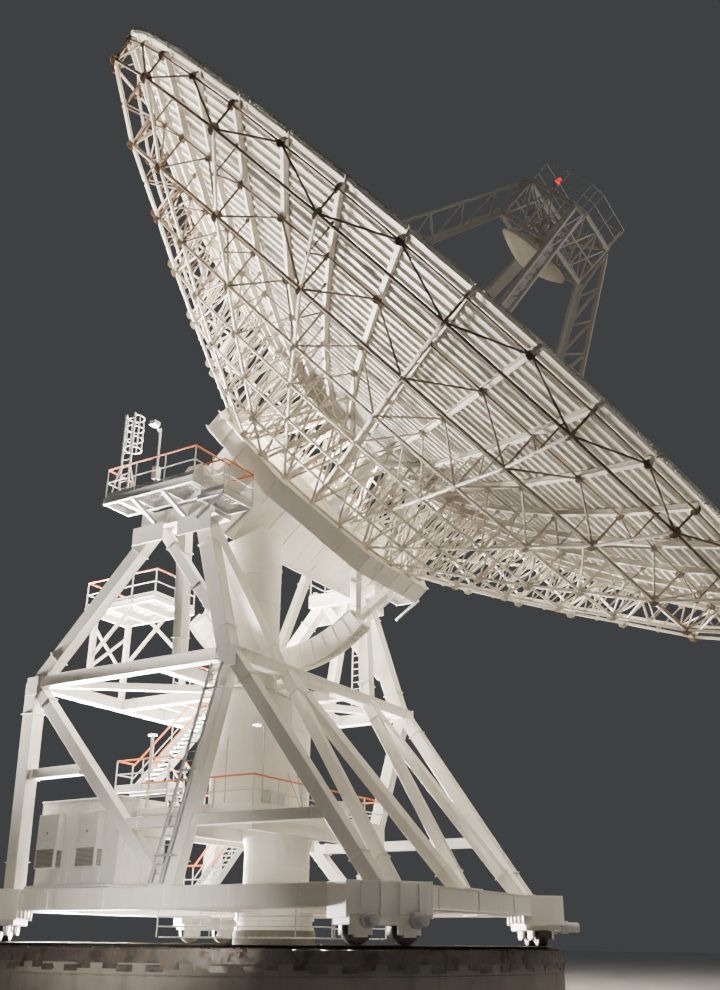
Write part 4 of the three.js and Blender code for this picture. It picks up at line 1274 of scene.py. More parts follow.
def make_tubes():
    """Central tube, the drum over it and the upper tube with its round cut for the girder."""
    profile = [
        (0, BEAM_Z1 + 0.002), (1.32, BEAM_Z1 + 0.002), (1.32, 3.53), (1.23, 3.54), (1.22, 3.58),
        (1.22, 4.38), (1.235, 4.39), (1.235, 4.43), (1.22, 4.44), (1.22, 4.85), (1.25, 5.1),
        (1.32, 5.35), (1.34, 5.5), (1.34, DECK_Z0 - 0.002), (0, DECK_Z0 - 0.002),
    ]
    shell = take_model(turned_object("lower_shell", profile, 72))
    strips = seam_strips(1.22, (160, 215, 262, 305, 40), 3.58, 4.85)
    heads = [facing(p, UP) for p in ring_points(1.27, 40, 3.53)]
    piece("lower_tube", [shell, plates(strips), bolts(heads, 0.025)], "frame", ["central_tube"])

    sets = [drum_shell(1.25, DECK_Z1 + 0.002, 10.398)]
    for z, out in ((DECK_Z1 + 0.03, 0.08), (7.1, 0.02), (8.15, 0.02), (9.25, 0.02), (10.34, 0.08)):
        sets.append(drum_shell(1.25 + out, z - 0.025, z + 0.025))
    reach = (DRUM_BACK - DRUM_FRONT).normalized()
    side = Vector(UP).cross(reach)
    strips = []
    for base in (DRUM_BACK, (DRUM_BACK + DRUM_FRONT) / 2, DRUM_FRONT):
        for sign in (-1, 1):
            p = base + side * sign * 1.248
            foot, top = lift(DECK_Z1 + 0.05), lift(10.3)
            strips.append((p + foot, p + top, 0.05, 0.02, side))
    door = DRUM_FRONT + polar(1.25, 255, 0)
    facing_out = polar(1, 255, 0)
    strips.append((door + lift(6.25), door + lift(8.2), 0.85, 0.07, facing_out))
    strips.append((
        door + facing_out * 0.05 + Vector((0.25, 0, 7.1)),
        door + facing_out * 0.05 + Vector((0.25, 0, 7.3)), 0.03, 0.06, facing_out,
    ))
    piece("drum", sets + [plates(strips)], "frame", ["waveguide_drum"])

    profile = [
        (0, 10.402), (1.2, 10.402), (1.2, RING_TOP), (1.38, RING_TOP + 0.01), (1.38, 11.33),
        (1.3, 11.35), (1.3, 11.45), (1.38, 11.47), (1.38, 11.55), (1.24, 11.64), (1.2, 11.7),
    ]
    for z in (12.6, 13.65, 14.7, 15.75):
        profile += [(1.2, z), (1.212, z + 0.01), (1.212, z + 0.05), (1.2, z + 0.06)]
    profile += [(1.2, 16.598), (0, 16.598)]
    shell = turned_object("upper_shell", profile, 72)
    deselect()
    bpy.ops.mesh.primitive_cylinder_add(
        vertices=96, radius=1.66, depth=4, location=(0, 0.3, AXIS_Z), rotation=(0, math.pi / 2, 0),
    )
    cutter = bpy.context.object
    bpy.ops.object.transform_apply()
    deselect()
    shell.select_set(True)
    bpy.context.view_layer.objects.active = shell
    cut = shell.modifiers.new("swept_cut", "BOOLEAN")
    cut.operation = "DIFFERENCE"
    cut.solver = "EXACT"
    cut.object = cutter
    bpy.ops.object.modifier_apply(modifier=cut.name)
    take_model(cutter)
    strips = []
    for i, (z0, z1) in enumerate(((11.7, 12.6), (12.66, 13.65), (13.71, 14.7), (14.76, 15.4))):
        strips += seam_strips(1.2, (170 + 35 * i, 250 + 25 * i, 320 - 20 * i, 60), z0, z1)
    heads = [facing(p, UP) for p in ring_points(1.34, 36, 11.33)]
    for k in range(44):
        p = polar(1.2, 360 * k / 44, 0)
        heads.append(facing((p.x, p.y, 15.2), p))
    piece("upper_tube", [
        take_model(shell), plates(strips), bolts(heads, 0.028),
    ], "frame", ["waveguide_tube"], turn=Matrix.Translation((-2.9, -0.3, 0)))


def make_lower_deck():
    """Deck plate with edge beams, beams and joists under it, rails, lamp posts and boxes."""
    centre, width = (DECK_FRONT + DECK_BACK) / 2, DECK_BACK - DECK_FRONT
    middle, depth = (DECK_Z0 + DECK_Z1) / 2, DECK_Z1 - DECK_Z0
    size = (2 * DECK_X - 0.1, width - 0.1, 0.06)
    plate = take_model(new_box(size, centre=(0, centre, DECK_Z1 - 0.035), bevel=0.005))
    edge = []
    for sign in (-1, 1):
        x, y = sign * (DECK_X - 0.07), centre + sign * (width / 2 - 0.07)
        edge.append(((x, DECK_FRONT, middle), (x, DECK_BACK, middle), 0.14, depth, UP))
        edge.append(((-DECK_X, y, middle), (DECK_X, y, middle), 0.139, depth, UP))
    for y in (DECK_FRONT + 0.14, 1.39, DECK_BACK - 0.14):
        edge.append(((-DECK_X, y, 5.49), (DECK_X, y, 5.49), 0.28, 0.42, UP))
    ribs = []
    for i in range(11):
        x = -4.0 + 0.8 * i
        ribs.append(((x, DECK_FRONT + 0.1, 5.84), (x, DECK_BACK - 0.1, 5.84), 0.08, 0.24, UP))
    boxes = [
        slab(-3.05, -2.55, -1.75, -1.45, 6.06, 6.75), slab(-2.4, -2.05, -1.72, -1.45, 6.06, 6.7),
        slab(-3.0, -2.6, -1.78, -1.74, 6.2, 6.7), slab(1.6, 2.2, -1.8, -1.55, DECK_Z1, 6.85),
    ]
    sides = [(-4.41, 3.06), (-4.41, -2.06), (4.41, -2.06), (4.41, 3.06)]
    back = [(2.48, 3.06), (-1.8, 3.06)]
    lower, top, boards = gathered([
        guard_rail(sides, DECK_Z1, 1.05, 1.5), guard_rail(back, DECK_Z1, 1.05, 1.5),
    ])
    lower += [
        ((-3.8, -2.0, DECK_Z1), (-3.85, -2.0, 8.85), 0.075),
        ((-3.85, -2.0, 8.82), (-4.3, -2.0, 8.84), 0.05),
        ((-4.36, 2.75, DECK_Z1), (-4.36, 2.75, 8.8), 0.11),
        ((-4.36, -0.8, DECK_Z1), (-4.36, -0.8, 8.45), 0.05),
        ((-1.1, -1.9, DECK_Z1), (-0.75, -1.2, 8.3), 0.07),
        ((-1.1, -1.9, DECK_Z1), (-1.35, -1.3, 7.6), 0.05),
    ]
    piece("deck", [plate, beams(edge), plates(ribs + boards)], "frame")
    piece("deck_rails", [rails(lower), plates(boxes)], "zinc", ["lower_deck"], smooth=35)
    top_rail("deck_top_rail", top)
    piece("deck_lamps", [plates([
        slab(-4.42, -4.16, -2.1, -1.9, 8.74, 8.79), slab(-4.46, -4.24, 2.62, 2.88, 8.8, 8.86),
    ])], "flood_lamp")


def make_cabin():
    """Equipment cabin: panelled walls, roof edge, doors, and two cooling units with grilles."""
    x0, x1, y0, y1 = -5.2, -2.8, 3.15, 7.1
    middle, length = (y0 + y1) / 2, y1 - y0
    body = take_model(new_box((2.4, length, 2.96), centre=(-4.0, middle, 5.08), bevel=0.015))
    floor = take_model(new_box((3.15, 4.1, 0.14), centre=(-4.075, 5.1, 3.53), bevel=0.01))
    size, centre = (2.52, length + 0.1, 0.07), (-4.0, middle, CABIN_TOP - 0.01)
    roof = take_model(new_box(size, centre=centre, bevel=0.015))
    low, high = 3.62, CABIN_TOP - 0.04
    trim = []
    for i in range(6):
        y = y0 + length * i / 5
        trim.append(slab(x0 - 0.015, x0 + 0.01, y - 0.025, y + 0.025, low, high))
        trim.append(slab(x1 - 0.01, x1 + 0.015, y - 0.025, y + 0.025, low, high))
    for x in (x0, -4.6, -4.0, -3.4, x1):
        trim.append(slab(x - 0.025, x + 0.025, y0 - 0.015, y0 + 0.01, low, high))
        trim.append(slab(x - 0.025, x + 0.025, y1 - 0.01, y1 + 0.015, low, high))
    for z in (low + 0.04, high - 0.06):
        trim.append(slab(x0 - 0.02, x0 + 0.01, y0, y1, z - 0.04, z + 0.04))
        trim.append(slab(x0, x1, y0 - 0.02, y0 + 0.01, z - 0.04, z + 0.04))
    trim += [slab(-5.25, -5.2, y - 0.9, y - 0.05, 6.1, 6.14) for y in (4.75, 6.8)]
    doors = []
    for a, b in ((-4.95, -4.05), (-3.95, -3.05)):
        doors.append(slab(a, b, y0 - 0.05, y0, 3.68, 5.85))
        doors.append(slab(b - 0.16, b - 0.1, y0 - 0.08, y0 - 0.04, 4.6, 4.85))
        for z in (3.95, 4.8, 5.6):
            doors.append(slab(a - 0.02, a + 0.03, y0 - 0.07, y0 - 0.03, z - 0.07, z + 0.07))
    skids = [((-5.6, y, 3.5), (-2.55, y, 3.5), 0.1, 0.1, UP) for y in (3.15, 7.1)]
    piece("cabin", [
        body, floor, roof, plates(trim + doors), beams(skids),
    ], "cabin", ["equipment_cabin"])
    for number, y in ((1, 5.83), (2, 3.84)):
        size, centre = (0.38, 1.0, 1.85), (-5.4, y + 0.5, 5.105)
        case = take_model(new_box(size, centre=centre, bevel=0.02, segments=2))
        parts = [
            slab(-5.605, -5.58, y + 0.05, y + 0.95, 4.86, 4.88),
            slab(-5.605, -5.58, y + 0.05, y + 0.95, 5.13, 5.15),
            slab(-5.605, -5.58, y + 0.05, y + 0.95, 5.25, 5.265),
            slab(-5.6, -5.585, y + 0.28, y + 0.72, 4.93, 5.08),
            slab(-5.58, -5.22, y - 0.012, y + 1.012, 6.0, 6.05),
        ]
        grille_bars, dark = [], [
            slab(-5.597, -5.588, y + 0.07, y + 0.93, 4.22, 4.83),
            slab(-5.5, -5.27, y - 0.004, y + 0.02, 4.23, 4.8),
            slab(-5.5, -5.27, y + 0.98, y + 1.004, 4.23, 4.8),
            slab(-5.606, -5.59, y + 0.46, y + 0.53, 5.36, 5.43),
        ]
        for i in range(14):
            z = 4.25 + i * 0.042
            grille_bars.append(slab(-5.61, -5.59, y + 0.06, y + 0.94, z - 0.006, z + 0.006))
            for face in (y - 0.012, y + 1.012):
                y0, y1 = face - 0.006, face + 0.006
                grille_bars.append(slab(-5.5, -5.27, y0, y1, z - 0.006, z + 0.006))
        piece(f"cooler_{number}", [
            case, plates(parts + grille_bars),
        ], "cabin", [f"cooling_unit_{number}"], slot="grey_paint")
        piece(f"cooler_grille_{number}", [plates(dark)], "grille")


# Ladders, stairs and walkways.
def leg_ladder_point(t, y):
    """A point on the ladder that leans along the left leg, t of the way up."""
    return Vector((-6.56, y - 2 * t, 3.52 + 7 * t))


def make_ladders():
    """Ladder on the left leg, and the caged ladder with its lamp on the left platform."""
    at = leg_ladder_point
    near, far, steps = -0.12, 0.33, 24
    stiles = [(at(0, y), at(1, y), 0.07, 0.09, ACROSS) for y in (near, far)]
    rungs = [(at(i / steps, near), at(i / steps, far), 0.038) for i in range(1, steps)]
    for t in (0.12, 0.5, 0.88):
        for y in (-0.2, 0.41):
            p = at(t, y)
            stiles.append((p + Vector((-0.02, 0, 0)), (-6.18, p.y, p.z), 0.06, 0.06, UP))
        stiles.append((at(t, -0.22), at(t, 0.43), 0.06, 0.07, ACROSS))
    piece("leg_ladder_steel", [plates(stiles), rails(rungs)], "zinc", ["leg_ladder"], smooth=35)

    x, near, far, foot = -7.485, 2.25, 2.7, 17.3
    stiles = [((x, y, foot), (x, y, 20.8), 0.07, 0.07, ACROSS) for y in (near, far)]
    rungs = []
    for i in range(1, 12):
        z = foot + 0.3 * i
        rungs.append(((x, near, z), (x, far, z), 0.038))
    centre, reach = Vector((-7.17, 2.475, 0)), 0.33
    for z in (19.35, 19.8, 20.25, 20.74):
        hoop = [centre + polar(reach, -135 + 27 * k, z) for k in range(11)]
        hoop = [Vector((x, near, z)), *hoop, Vector((x, far, z))]
        rungs += [(a, b, 0.045) for a, b in zip(hoop, hoop[1:])]
    for degrees in (-110, -70, -25, 25, 70, 110):
        p = centre + polar(reach, degrees, 0)
        rungs.append(((p.x, p.y, 19.33), (p.x, p.y, 20.76), 0.04))
    rungs += [
        ((x, far, 18.6), (x, 3.12, 17.35), 0.05), ((x, near, 18.6), (-7.0, near, 17.35), 0.05),
        ((-7.0, 1.3, foot), (-7.0, 1.3, 20.05), 0.1), ((-7.0, 1.3, 19.9), (-7.3, 1.3, 20.1), 0.06),
    ]
    boxes = [slab(-7.14, -6.9, 1.18, 1.42, 17.9, 18.4), slab(-7.5, -7.2, 1.15, 1.45, 20.06, 20.2)]
    piece("caged_ladder", [
        plates(stiles + boxes), rails(rungs),
    ], "zinc", ["cage_ladder"], smooth=35)
    piece("platform_lamp", [plates([slab(-7.48, -7.22, 1.17, 1.43, 20.02, 20.06)])], "flood_lamp")


def stair_parts(y0, y1, start, end, treads):
    """Rails, and stringers with treads, of a flight along X; start and end are (x, z)."""
    flat, lower, top = [], [], []
    for y in (y0, y1):
        a, b = Vector((start[0], y, start[1])), Vector((end[0], y, end[1]))
        flat.append((a, b, 0.05, 0.26, UP))
        posts, hand = stair_rail(a, b)
        lower += posts
        top += hand
    for i in range(1, treads):
        t = i / treads
        x = start[0] + (end[0] - start[0]) * t
        z = start[1] + (end[1] - start[1]) * t
        flat.append(slab(x - 0.12, x + 0.12, y0 + 0.02, y1 - 0.02, z - 0.018, z + 0.018))
    return lower, top, flat


def make_stairs():
    """Stairs to the lower deck and to the middle floor, with their landings and rails."""
    landing, height = 7.03, 1.05
    lower_floor = grating(-0.43, 0.43, 3.18, 4.12, BEAM_Z1 - 0.03)
    lower_floor += grating(2.53, 3.48, 3.12, 4.12, 6.02)
    lower_floor += [
        ((3.44, 3.14, 5.96), (3.44, 4.12, 5.96), 0.06, 0.12, UP),
        ((2.55, 4.1, 5.96), (3.48, 4.1, 5.96), 0.06, 0.12, UP),
    ]
    lower_parts = [
        stair_parts(3.2, 4.1, (0.1, 3.5), (2.6, 5.98), 13),
        guard_rail([(-0.41, 3.2), (-0.41, 4.1)], BEAM_Z1, height),
        guard_rail([(2.62, 4.1), (3.46, 4.1), (3.46, 3.14)], DECK_Z1, height),
    ]
    upper_floor = grating(-3.98, -3.1, 2.14, 4.76, landing - 0.03)
    for x in (-3.97, -3.13):
        z = landing - 0.07
        upper_floor.append(((x, 2.12, z), (x, 4.78, z), 0.06, 0.13, UP))
    for y, foot in ((2.18, DECK_Z1), (4.72, CABIN_TOP)):
        a, b = (-3.94, y, foot + 0.02), (-3.94, y, landing - 0.06)
        upper_floor.append((a, b, 0.08, 0.08, ACROSS))
    upper_parts = [
        stair_parts(2.15, 2.95, (-1.85, 6.01), (-3.1, 6.98), 6),
        stair_parts(3.85, 4.75, (-3.12, 7.0), (1.05, 11.05), 20),
        guard_rail([(-3.12, 4.76), (-3.97, 4.76), (-3.97, 2.15), (-3.12, 2.15)], landing, height),
        guard_rail([(-3.13, 2.97), (-3.13, 3.83)], landing, height),
    ]
    runs = (("lower_stair", lower_floor, lower_parts), ("upper_stair", upper_floor, upper_parts))
    for node, floor, parts in runs:
        lower, top, flat = gathered(parts)
        piece(f"{node}_steel", [plates(floor + flat), rails(lower)], "zinc", [node], smooth=35)
        top_rail(f"{node}_top_rail", top)


def make_rear_walkway():
    """Landing behind the tubes: posts, knee braces, edge beams, grating and rails."""
    x0, x1, y0, y1 = -3.7, -1.2, 3.9, 7.8
    post_y, head = 7.42, 14.5
    frame_parts = []
    for x in (x0 + 0.06, x1 - 0.06):
        frame_parts.append(((x, y0, 14.58), (x, y1, 14.58), 0.12, 0.24, UP))
    for y in (y0 + 0.06, 5.2, 6.5, y1 - 0.06):
        frame_parts.append(((x0, y, 14.57), (x1, y, 14.57), 0.1, 0.2, UP))
    for x in (-3.4, -1.4):
        frame_parts.append(((x, post_y, RING_TOP), (x, post_y, head), 0.2, 0.2, ACROSS))
        frame_parts.append(((x, post_y, 12.6), (x, 5.4, 14.45), 0.12, 0.12, ACROSS))
    frame_parts += [
        ((-1.3, 4.2, RING_TOP - 0.04), (-1.3, 4.2, head), 0.2, 0.2, ACROSS),
        ((-1.3, 4.2, 12.6), (-1.35, 6.2, 14.45), 0.12, 0.12, ACROSS),
        ((-3.4, post_y, 12.2), (-1.4, post_y, 13.9), 0.1, 0.1, BACKWARD),
        ((-3.4, post_y, 13.9), (-1.4, post_y, 12.2), 0.1, 0.1, BACKWARD),
    ]
    floor = grating(x0 + 0.1, x1 - 0.1, y0 + 0.1, y1 - 0.1, 14.68, 0.12)
    route = [(-1.24, 7.76), (-3.66, 7.76), (-3.66, 3.94), (-1.24, 3.94)]
    lower, top, boards = guard_rail(route, 14.7, 1.1)
    piece("rear_landing", [
        beams(frame_parts), plates(floor + boards), rails(lower),
    ], "frame", ["rear_walkway"], smooth=35)
    top_rail("rear_landing_top_rail", top)


def make_elevation_drive():
    """Gearbox and two motors under the elevation wheel."""
    base = take_model(new_box((1.4, 1.06, 0.28), centre=(0, -0.15, 11.31), bevel=0.02))
    box = take_model(new_box((0.8, 0.66, 0.2), centre=(0, -0.1, 11.52), bevel=0.03, segments=2))
    motor = take_model(turned_object("motor", [
        (0, 0), (0.13, 0), (0.15, 0.02), (0.15, 0.2), (0.11, 0.22), (0.11, 0.5), (0.05, 0.52),
        (0, 0.52),
    ], 24))
    spots = []
    for sign in (-1, 1):
        lay = Matrix.Rotation(sign * math.pi / 2, 4, "Y")
        spots.append(Matrix.Translation((sign * 0.38, -0.12, 11.47)) @ lay)
    feet = []
    for x, y in ((-0.55, -0.6), (-0.55, 0.3), (0.55, -0.6), (0.55, 0.3)):
        feet.append(slab(x - 0.1, x + 0.1, y - 0.06, y + 0.06, 11.17, 11.21))
    piece("tipping_drive", [
        base, box, placed(motor, spots), plates(feet),
    ], "grey", ["elevation_drive"])


# Girder, hub and wheel of the tipping part.
HUB_N0, HUB_N1 = 1.6, 2.4
WHEEL_R, WHEEL_DEPTH = 6.0, 1.0
WHEEL_START, WHEEL_SWEEP = -180, 96


def make_girder():
    """Tipping girder: deep box with flanges, ribs and hatches, and a trunnion at each end."""
    half = 5.2
    box = [((-half, 0, 0.35), (half, 0, 0.35), 2.3, 2.496, UP)]
    flanges = [slab(-5.1, 5.1, -1.18, 1.18, n - 0.025, n + 0.025) for n in (-0.87, 1.57)]
    ribs = []
    for k in range(1, 8):
        x = 1.3 * k - half
        ribs += [slab(x - 0.012, x + 0.012, v - 0.03, v + 0.03, -0.84, 1.54) for v in (-1.13, 1.13)]
        ribs.append(slab(x - 0.012, x + 0.012, -1.1, 1.1, -0.91, -0.86))
    for x in (-4.0, 1.2, 3.9):
        ribs.append(slab(x - 0.35, x + 0.35, -1.15, -1.1, -0.3, 0.9))
        ribs.append(slab(x - 0.3, x + 0.3, -1.16, -1.14, -0.25, 0.85))
    pin_profile = [
        (0, -6.3), (0.36, -6.3), (0.4, -6.26), (0.4, -6.2), (0.4495, -6.18), (0.4495, -5.36),
        (0.75, -5.3), (0.8, -5.2), (0.8, -5.1), (0, -5.1),
    ]
    pin = take_model(turned_object("pin", pin_profile, 48))
    spots = [Matrix.Rotation(sign * math.pi / 2, 4, "Y") for sign in (1, -1)]
    heads = []
    for sign in (-1, 1):
        for k in range(8):
            p = polar(0.27, 45 * k, 0)
            heads.append(facing((sign * 6.3, p.x, p.y), (sign, 0, 0)))
    piece("tipping_girder", [
        heavy_girders(box), plates(flanges + ribs), placed(pin, spots), bolts(heads, 0.04),
    ], "frame", ["elevation_girder"], body="reflector")


def make_hub_ring():
    """Eight-sided ring girder with cross girders, corner plates and rafters to the first joints."""
    middle = (HUB_N0 + HUB_N1) / 2
    radius = 5.05 / math.cos(math.pi / 8)
    sides, details = [], []
    for k in range(8):
        a, b = polar(radius, 22.5 + 45 * k, middle), polar(radius, 67.5 + 45 * k, middle)
        stretch = (b - a).normalized() * 0.17
        sides.append((a - stretch, b + stretch, 0.9, 0.796, UP))
        for n in (HUB_N0 + 0.012, HUB_N1 - 0.012):
            corner = polar(radius, 22.5 + 45 * k, n)
            over = corner + lift(0.014)
            details.append((corner, over, 0.92, 0.88, polar(1, 112.5 + 45 * k, 0)))
        inner = a.lerp(b, 0.5)
        for step in (-0.28, 0, 0.28):
            p = inner + (b - a) * step
            out = polar(1, 45 + 45 * k, 0)
            for reach in (-0.44, 0.44):
                details.append((
                    p + out * reach - lift(0.37), p + out * reach + lift(0.37),
                    0.024, 0.05, out,
                ))
    sides += [((u, -4.75, middle), (u, 4.75, middle), 0.4, 0.78, UP) for u in (-1.6, 1.6)]
    sides += [((-1.5, v, middle), (1.5, v, middle), 0.25, 0.5, UP) for v in (-2.4, 0, 2.4)]
    piece("hub_girders", [
        heavy_girders(sides), plates(details),
    ], "frame", ["hub_ring"], body="reflector")
    bars = []
    outer = 5.0
    near_n, far_n = back_n(INNER_R) - JOINT_DROP, back_n(outer) - 0.3
    for k in range(24):
        degrees, after = 7.5 + 15 * k, 22.5 + 15 * k
        foot, inner = polar(outer, degrees, HUB_N1), polar(INNER_R, degrees, near_n)
        bars.append((foot, inner, 0.12))
        bars.append((foot, polar(outer, after, far_n), 0.1))
        bars.append((polar(outer, after, HUB_N1), polar(outer, degrees, far_n), 0.1))
        bars.append((inner, polar(INNER_R, after, near_n), 0.1))
    for u in (-1.6, 1.6):
        for v in (-3.6, -1.2, 1.2, 3.6):
            foot = Vector((u, v, HUB_N1))
            for du, dv in ((-1, 0.9), (1, 0.9), (-1, -0.9), (1, -0.9)):
                r = math.hypot(u + du, v + dv)
                if r > 1.4:
                    bars.append((foot, Vector((u + du, v + dv, back_n(r) - 0.15)), 0.09))
    piece("hub_lattice", [tubes(bars)], "truss", body="reflector", smooth=40)


def wheel_at(degrees, r, x=0.0):
    """A point on the elevation wheel."""
    a = math.radians(degrees)
    return Vector((x, r * math.cos(a), r * math.sin(a)))


def arc_band(half_width, r0, r1, steps=48):
    """A curved bar of the wheel: its section spun about the elevation axis."""
    deselect()
    bpy.ops.mesh.primitive_plane_add(size=1, location=(0, -(r0 + r1) / 2, 0))
    obj = bpy.context.object
    obj.scale = (half_width * 2, r1 - r0, 1)
    bpy.ops.object.transform_apply()
    bpy.ops.object.mode_set(mode="EDIT")
    spin(steps, math.radians(WHEEL_SWEEP), (-1, 0, 0))
    return take_model(obj)


def make_wheel():
    """Elevation wheel: curved box with flanges, plate seams and rack, and its fan of struts."""
    inner = WHEEL_R - WHEEL_DEPTH
    sets = [
        arc_band(0.3, inner + 0.03, WHEEL_R - 0.06),
        arc_band(0.33, inner, inner + 0.035),
        arc_band(0.33, WHEEL_R - 0.09, WHEEL_R - 0.05),
    ]
    seams = []
    for k in range(1, 16):
        degrees = WHEEL_START + WHEEL_SWEEP * k / 16
        for x in (-0.305, 0.305):
            seams.append((
                wheel_at(degrees, inner + 0.04, x), wheel_at(degrees, WHEEL_R - 0.1, x), 0.03, 0.04,
                wheel_at(degrees + 90, 1),
            ))
    rack = []
    for k in range(90):
        degrees = WHEEL_START + WHEEL_SWEEP * (k + 0.5) / 90
        p = wheel_at(degrees, WHEEL_R - 0.055)
        along = wheel_at(degrees + 90, 1)
        rack.append((p, wheel_at(degrees, WHEEL_R - 0.002), 0.3, 0.055, along))
    struts = []
    for sign in (-1, 1):
        x = sign * 1.5
        ends = (
            (-178, 5.4, (x, -4.7, HUB_N0 + 0.02)), (-135, 5.3, (x, -0.95, -0.8)),
            (-90, 5.3, (x, 0.75, -0.8)), (-88, 5.3, (x, 4.7, HUB_N0 + 0.02)),
        )
        for degrees, r, end in ends:
            struts.append((wheel_at(degrees, r), Vector(end), 0.32, 0.32, ACROSS))
    end_plates = []
    for degrees in (WHEEL_START + 0.4, WHEEL_START + WHEEL_SWEEP - 0.4):
        p = wheel_at(degrees, (WHEEL_R + inner) / 2)
        along = wheel_at(degrees + 90, 1)
        end_plates.append((p - along * 0.02, p + along * 0.02, 0.68, 0.98, ACROSS))
    piece("tipping_wheel", sets + [
        plates(seams + rack + end_plates), beams(struts), plates(collars(struts, 0.7, lip=0.06)),
    ], "frame", ["elevation_wheel"], body="reflector")


def make_vertex_tube():
    """Tube from the girder to the plate that closes the bowl's middle."""
    tube = take_model(turned_object("tube", [
        (0, 1.602), (0.33, 1.602), (0.33, 1.65), (0.25, 1.66), (0.25, 3.2), (0.29, 3.21),
        (0.29, 3.29), (0.25, 3.3), (0.25, 4.85), (0.31, 4.95), (0.31, 5.06), (0, 5.06),
    ], 40))
    plate = take_model(turned_object("plate", [
        (0, 5.075), (1.29, 5.075), (1.295, 5.085), (1.295, 5.14), (1.285, 5.15), (0.5, 5.15),
        (0.48, 5.16), (0.47, 5.2), (0, 5.21),
    ], 64))
    fins = [(polar(0.2, 30 * k, 5.0), polar(1.27, 30 * k, 5.0), 0.02, 0.13, UP) for k in range(12)]
    piece("vertex_tube_shell", [
        moved(tube, (0, -0.7, 0)), plate, plates(fins),
    ], "grey", ["vertex_tube"], body="reflector")


# Reflector pieces.
def upper_node(index, degrees):
    """A joint under the radial beams."""
    r = UPPER_R[index]
    return polar(r, degrees, back_n(r) - JOINT_DROP)


def lower_node(index, degrees):
    """A joint of the ribs' lower chords."""
    r, n = LOWER_NODES[index]
    return polar(r, degrees, n)


def radial_beam(degrees, inner):
    """The beam under the panels along one rib, as straight stretches."""
    stops = [inner] + [r for r in UPPER_R if r > inner + 0.5]
    points = [polar(r, degrees, back_n(r) - 0.115) for r in stops]
    up = Vector(UP)
    return [(a, b, 0.15, 0.19, up) for a, b in zip(points, points[1:])]


def rib_parts(degrees, sizes):
    """One main rib: its chord tubes and beams, and its web tubes and joint plates, which are darker
    from painted shade.
    """
    chords, webs, discs = [], [], []
    last = len(LOWER_NODES) - 1
    side = polar(1, degrees + 90, 0)
    inner = polar(INNER_R, degrees, back_n(INNER_R) - JOINT_DROP)
    chords.append((inner, lower_node(0, degrees), sizes.web * 1.4))
    for i in range(last + 1):
        low, high = lower_node(i, degrees), upper_node(i, degrees)
        webs.append((low, high, sizes.web * 1.1))
        if i < last:
            far_low, far_high = lower_node(i + 1, degrees), upper_node(i + 1, degrees)
            chords.append((low, far_low, sizes.chord))
            middle = (low + far_low) / 2
            webs.append((middle, (high + far_high) / 2, sizes.web * 0.8))
            webs.append((middle, high, sizes.web * 0.8))
            discs.append(disc(middle, side, sizes.joint * 0.5, 0.04))
            discs.append(disc((high + far_high) / 2, side, sizes.joint * 0.5, 0.05))
        discs.append(disc(low, side, sizes.joint, 0.05))
        discs.append(disc(low, UP, sizes.joint * 0.55, 0.05))
        discs.append(disc(high, side, sizes.joint * 0.8, 0.05))
    return chords, radial_beam(degrees, INNER_R), webs, discs


def bay_parts(degrees, sizes):
    """Hoops and bracing from one main rib to the next, over the light rib between them."""
    webs, discs = [], []
    middle, far = degrees + 7.5, degrees + 15
    for i in range(len(UPPER_R)):
        low_a, low_b = lower_node(i, degrees), lower_node(i, far)
        webs.append((low_a, low_b, sizes.hoop * (1.15 if i > 3 else 1)))
        if i == 0:
            webs.append((upper_node(i, degrees), upper_node(i, far), sizes.web))
            continue
        centre = upper_node(i, middle)
        webs.append((upper_node(i, degrees), centre, sizes.web))
        webs.append((centre, upper_node(i, far), sizes.web))
        webs.append((low_a, centre, sizes.web))
        webs.append((centre, low_b, sizes.web))
        discs.append(disc(centre, polar(1, middle, 0), sizes.joint * 0.7, 0.05))
        if i < len(UPPER_R) - 1:
            discs.append(disc(centre - lift(0.05), UP, sizes.joint * 0.6, 0.06))
    return [], radial_beam(middle, 5.6), webs, discs


def make_back_truss():
    """Four quarters of the lattice behind the panels."""
    sizes = bpy.context.scene.dish_lattice
    for quarter in range(4):
        chords, girders, webs, discs = [], [], [], []
        for k in range(6):
            degrees = quarter * 90 + 7.5 + 15 * k
            for parts in (rib_parts(degrees, sizes), bay_parts(degrees, sizes)):
                chords += parts[0]
                girders += parts[1]
                webs += parts[2]
                discs += parts[3]
        piece(f"back_truss_{quarter + 1}", [
            tubes(chords), beams(girders),
        ], "truss", [f"rib_quadrant_{quarter + 1}"], body="reflector", smooth=40)
        # The webs, hoops and joint plates get the web finish, with painted shade that darkens them
        # towards the rim.
        piece(f"shaded_back_web_{quarter + 1}", [
            tubes(webs), joints(discs),
        ], "web", body="reflector", smooth=40)


def panel_model():
    """A flat panel blank, cut both ways so that it can take the bowl's curve."""
    obj = new_box((1, 1, 1), centre=(0.5, 0.5, 0.5))
    bpy.ops.object.mode_set(mode="EDIT")
    bpy.ops.mesh.select_all(action="SELECT")
    bpy.ops.mesh.bisect(plane_co=(0.5, 0.5, 0.5), plane_no=ACROSS)
    bpy.ops.mesh.select_all(action="SELECT")
    bpy.ops.mesh.bisect(plane_co=(0.5, 0.5, 0.5), plane_no=BACKWARD)
    return take_model(obj)


def stiffener_model():
    """A pressed hat section: a bar with sloping sides, cut in the middle for the curve."""
    obj = new_box((1, 1, 1), centre=(0.5, 0.5, 0.5))
    pick_faces(obj, lambda c, n: n.z < -0.9)
    bpy.ops.transform.resize(value=(0.55, 1, 1))
    bpy.ops.mesh.select_all(action="SELECT")
    bpy.ops.mesh.bisect(plane_co=(0.5, 0.5, 0.5), plane_no=BACKWARD)
    return take_model(obj)


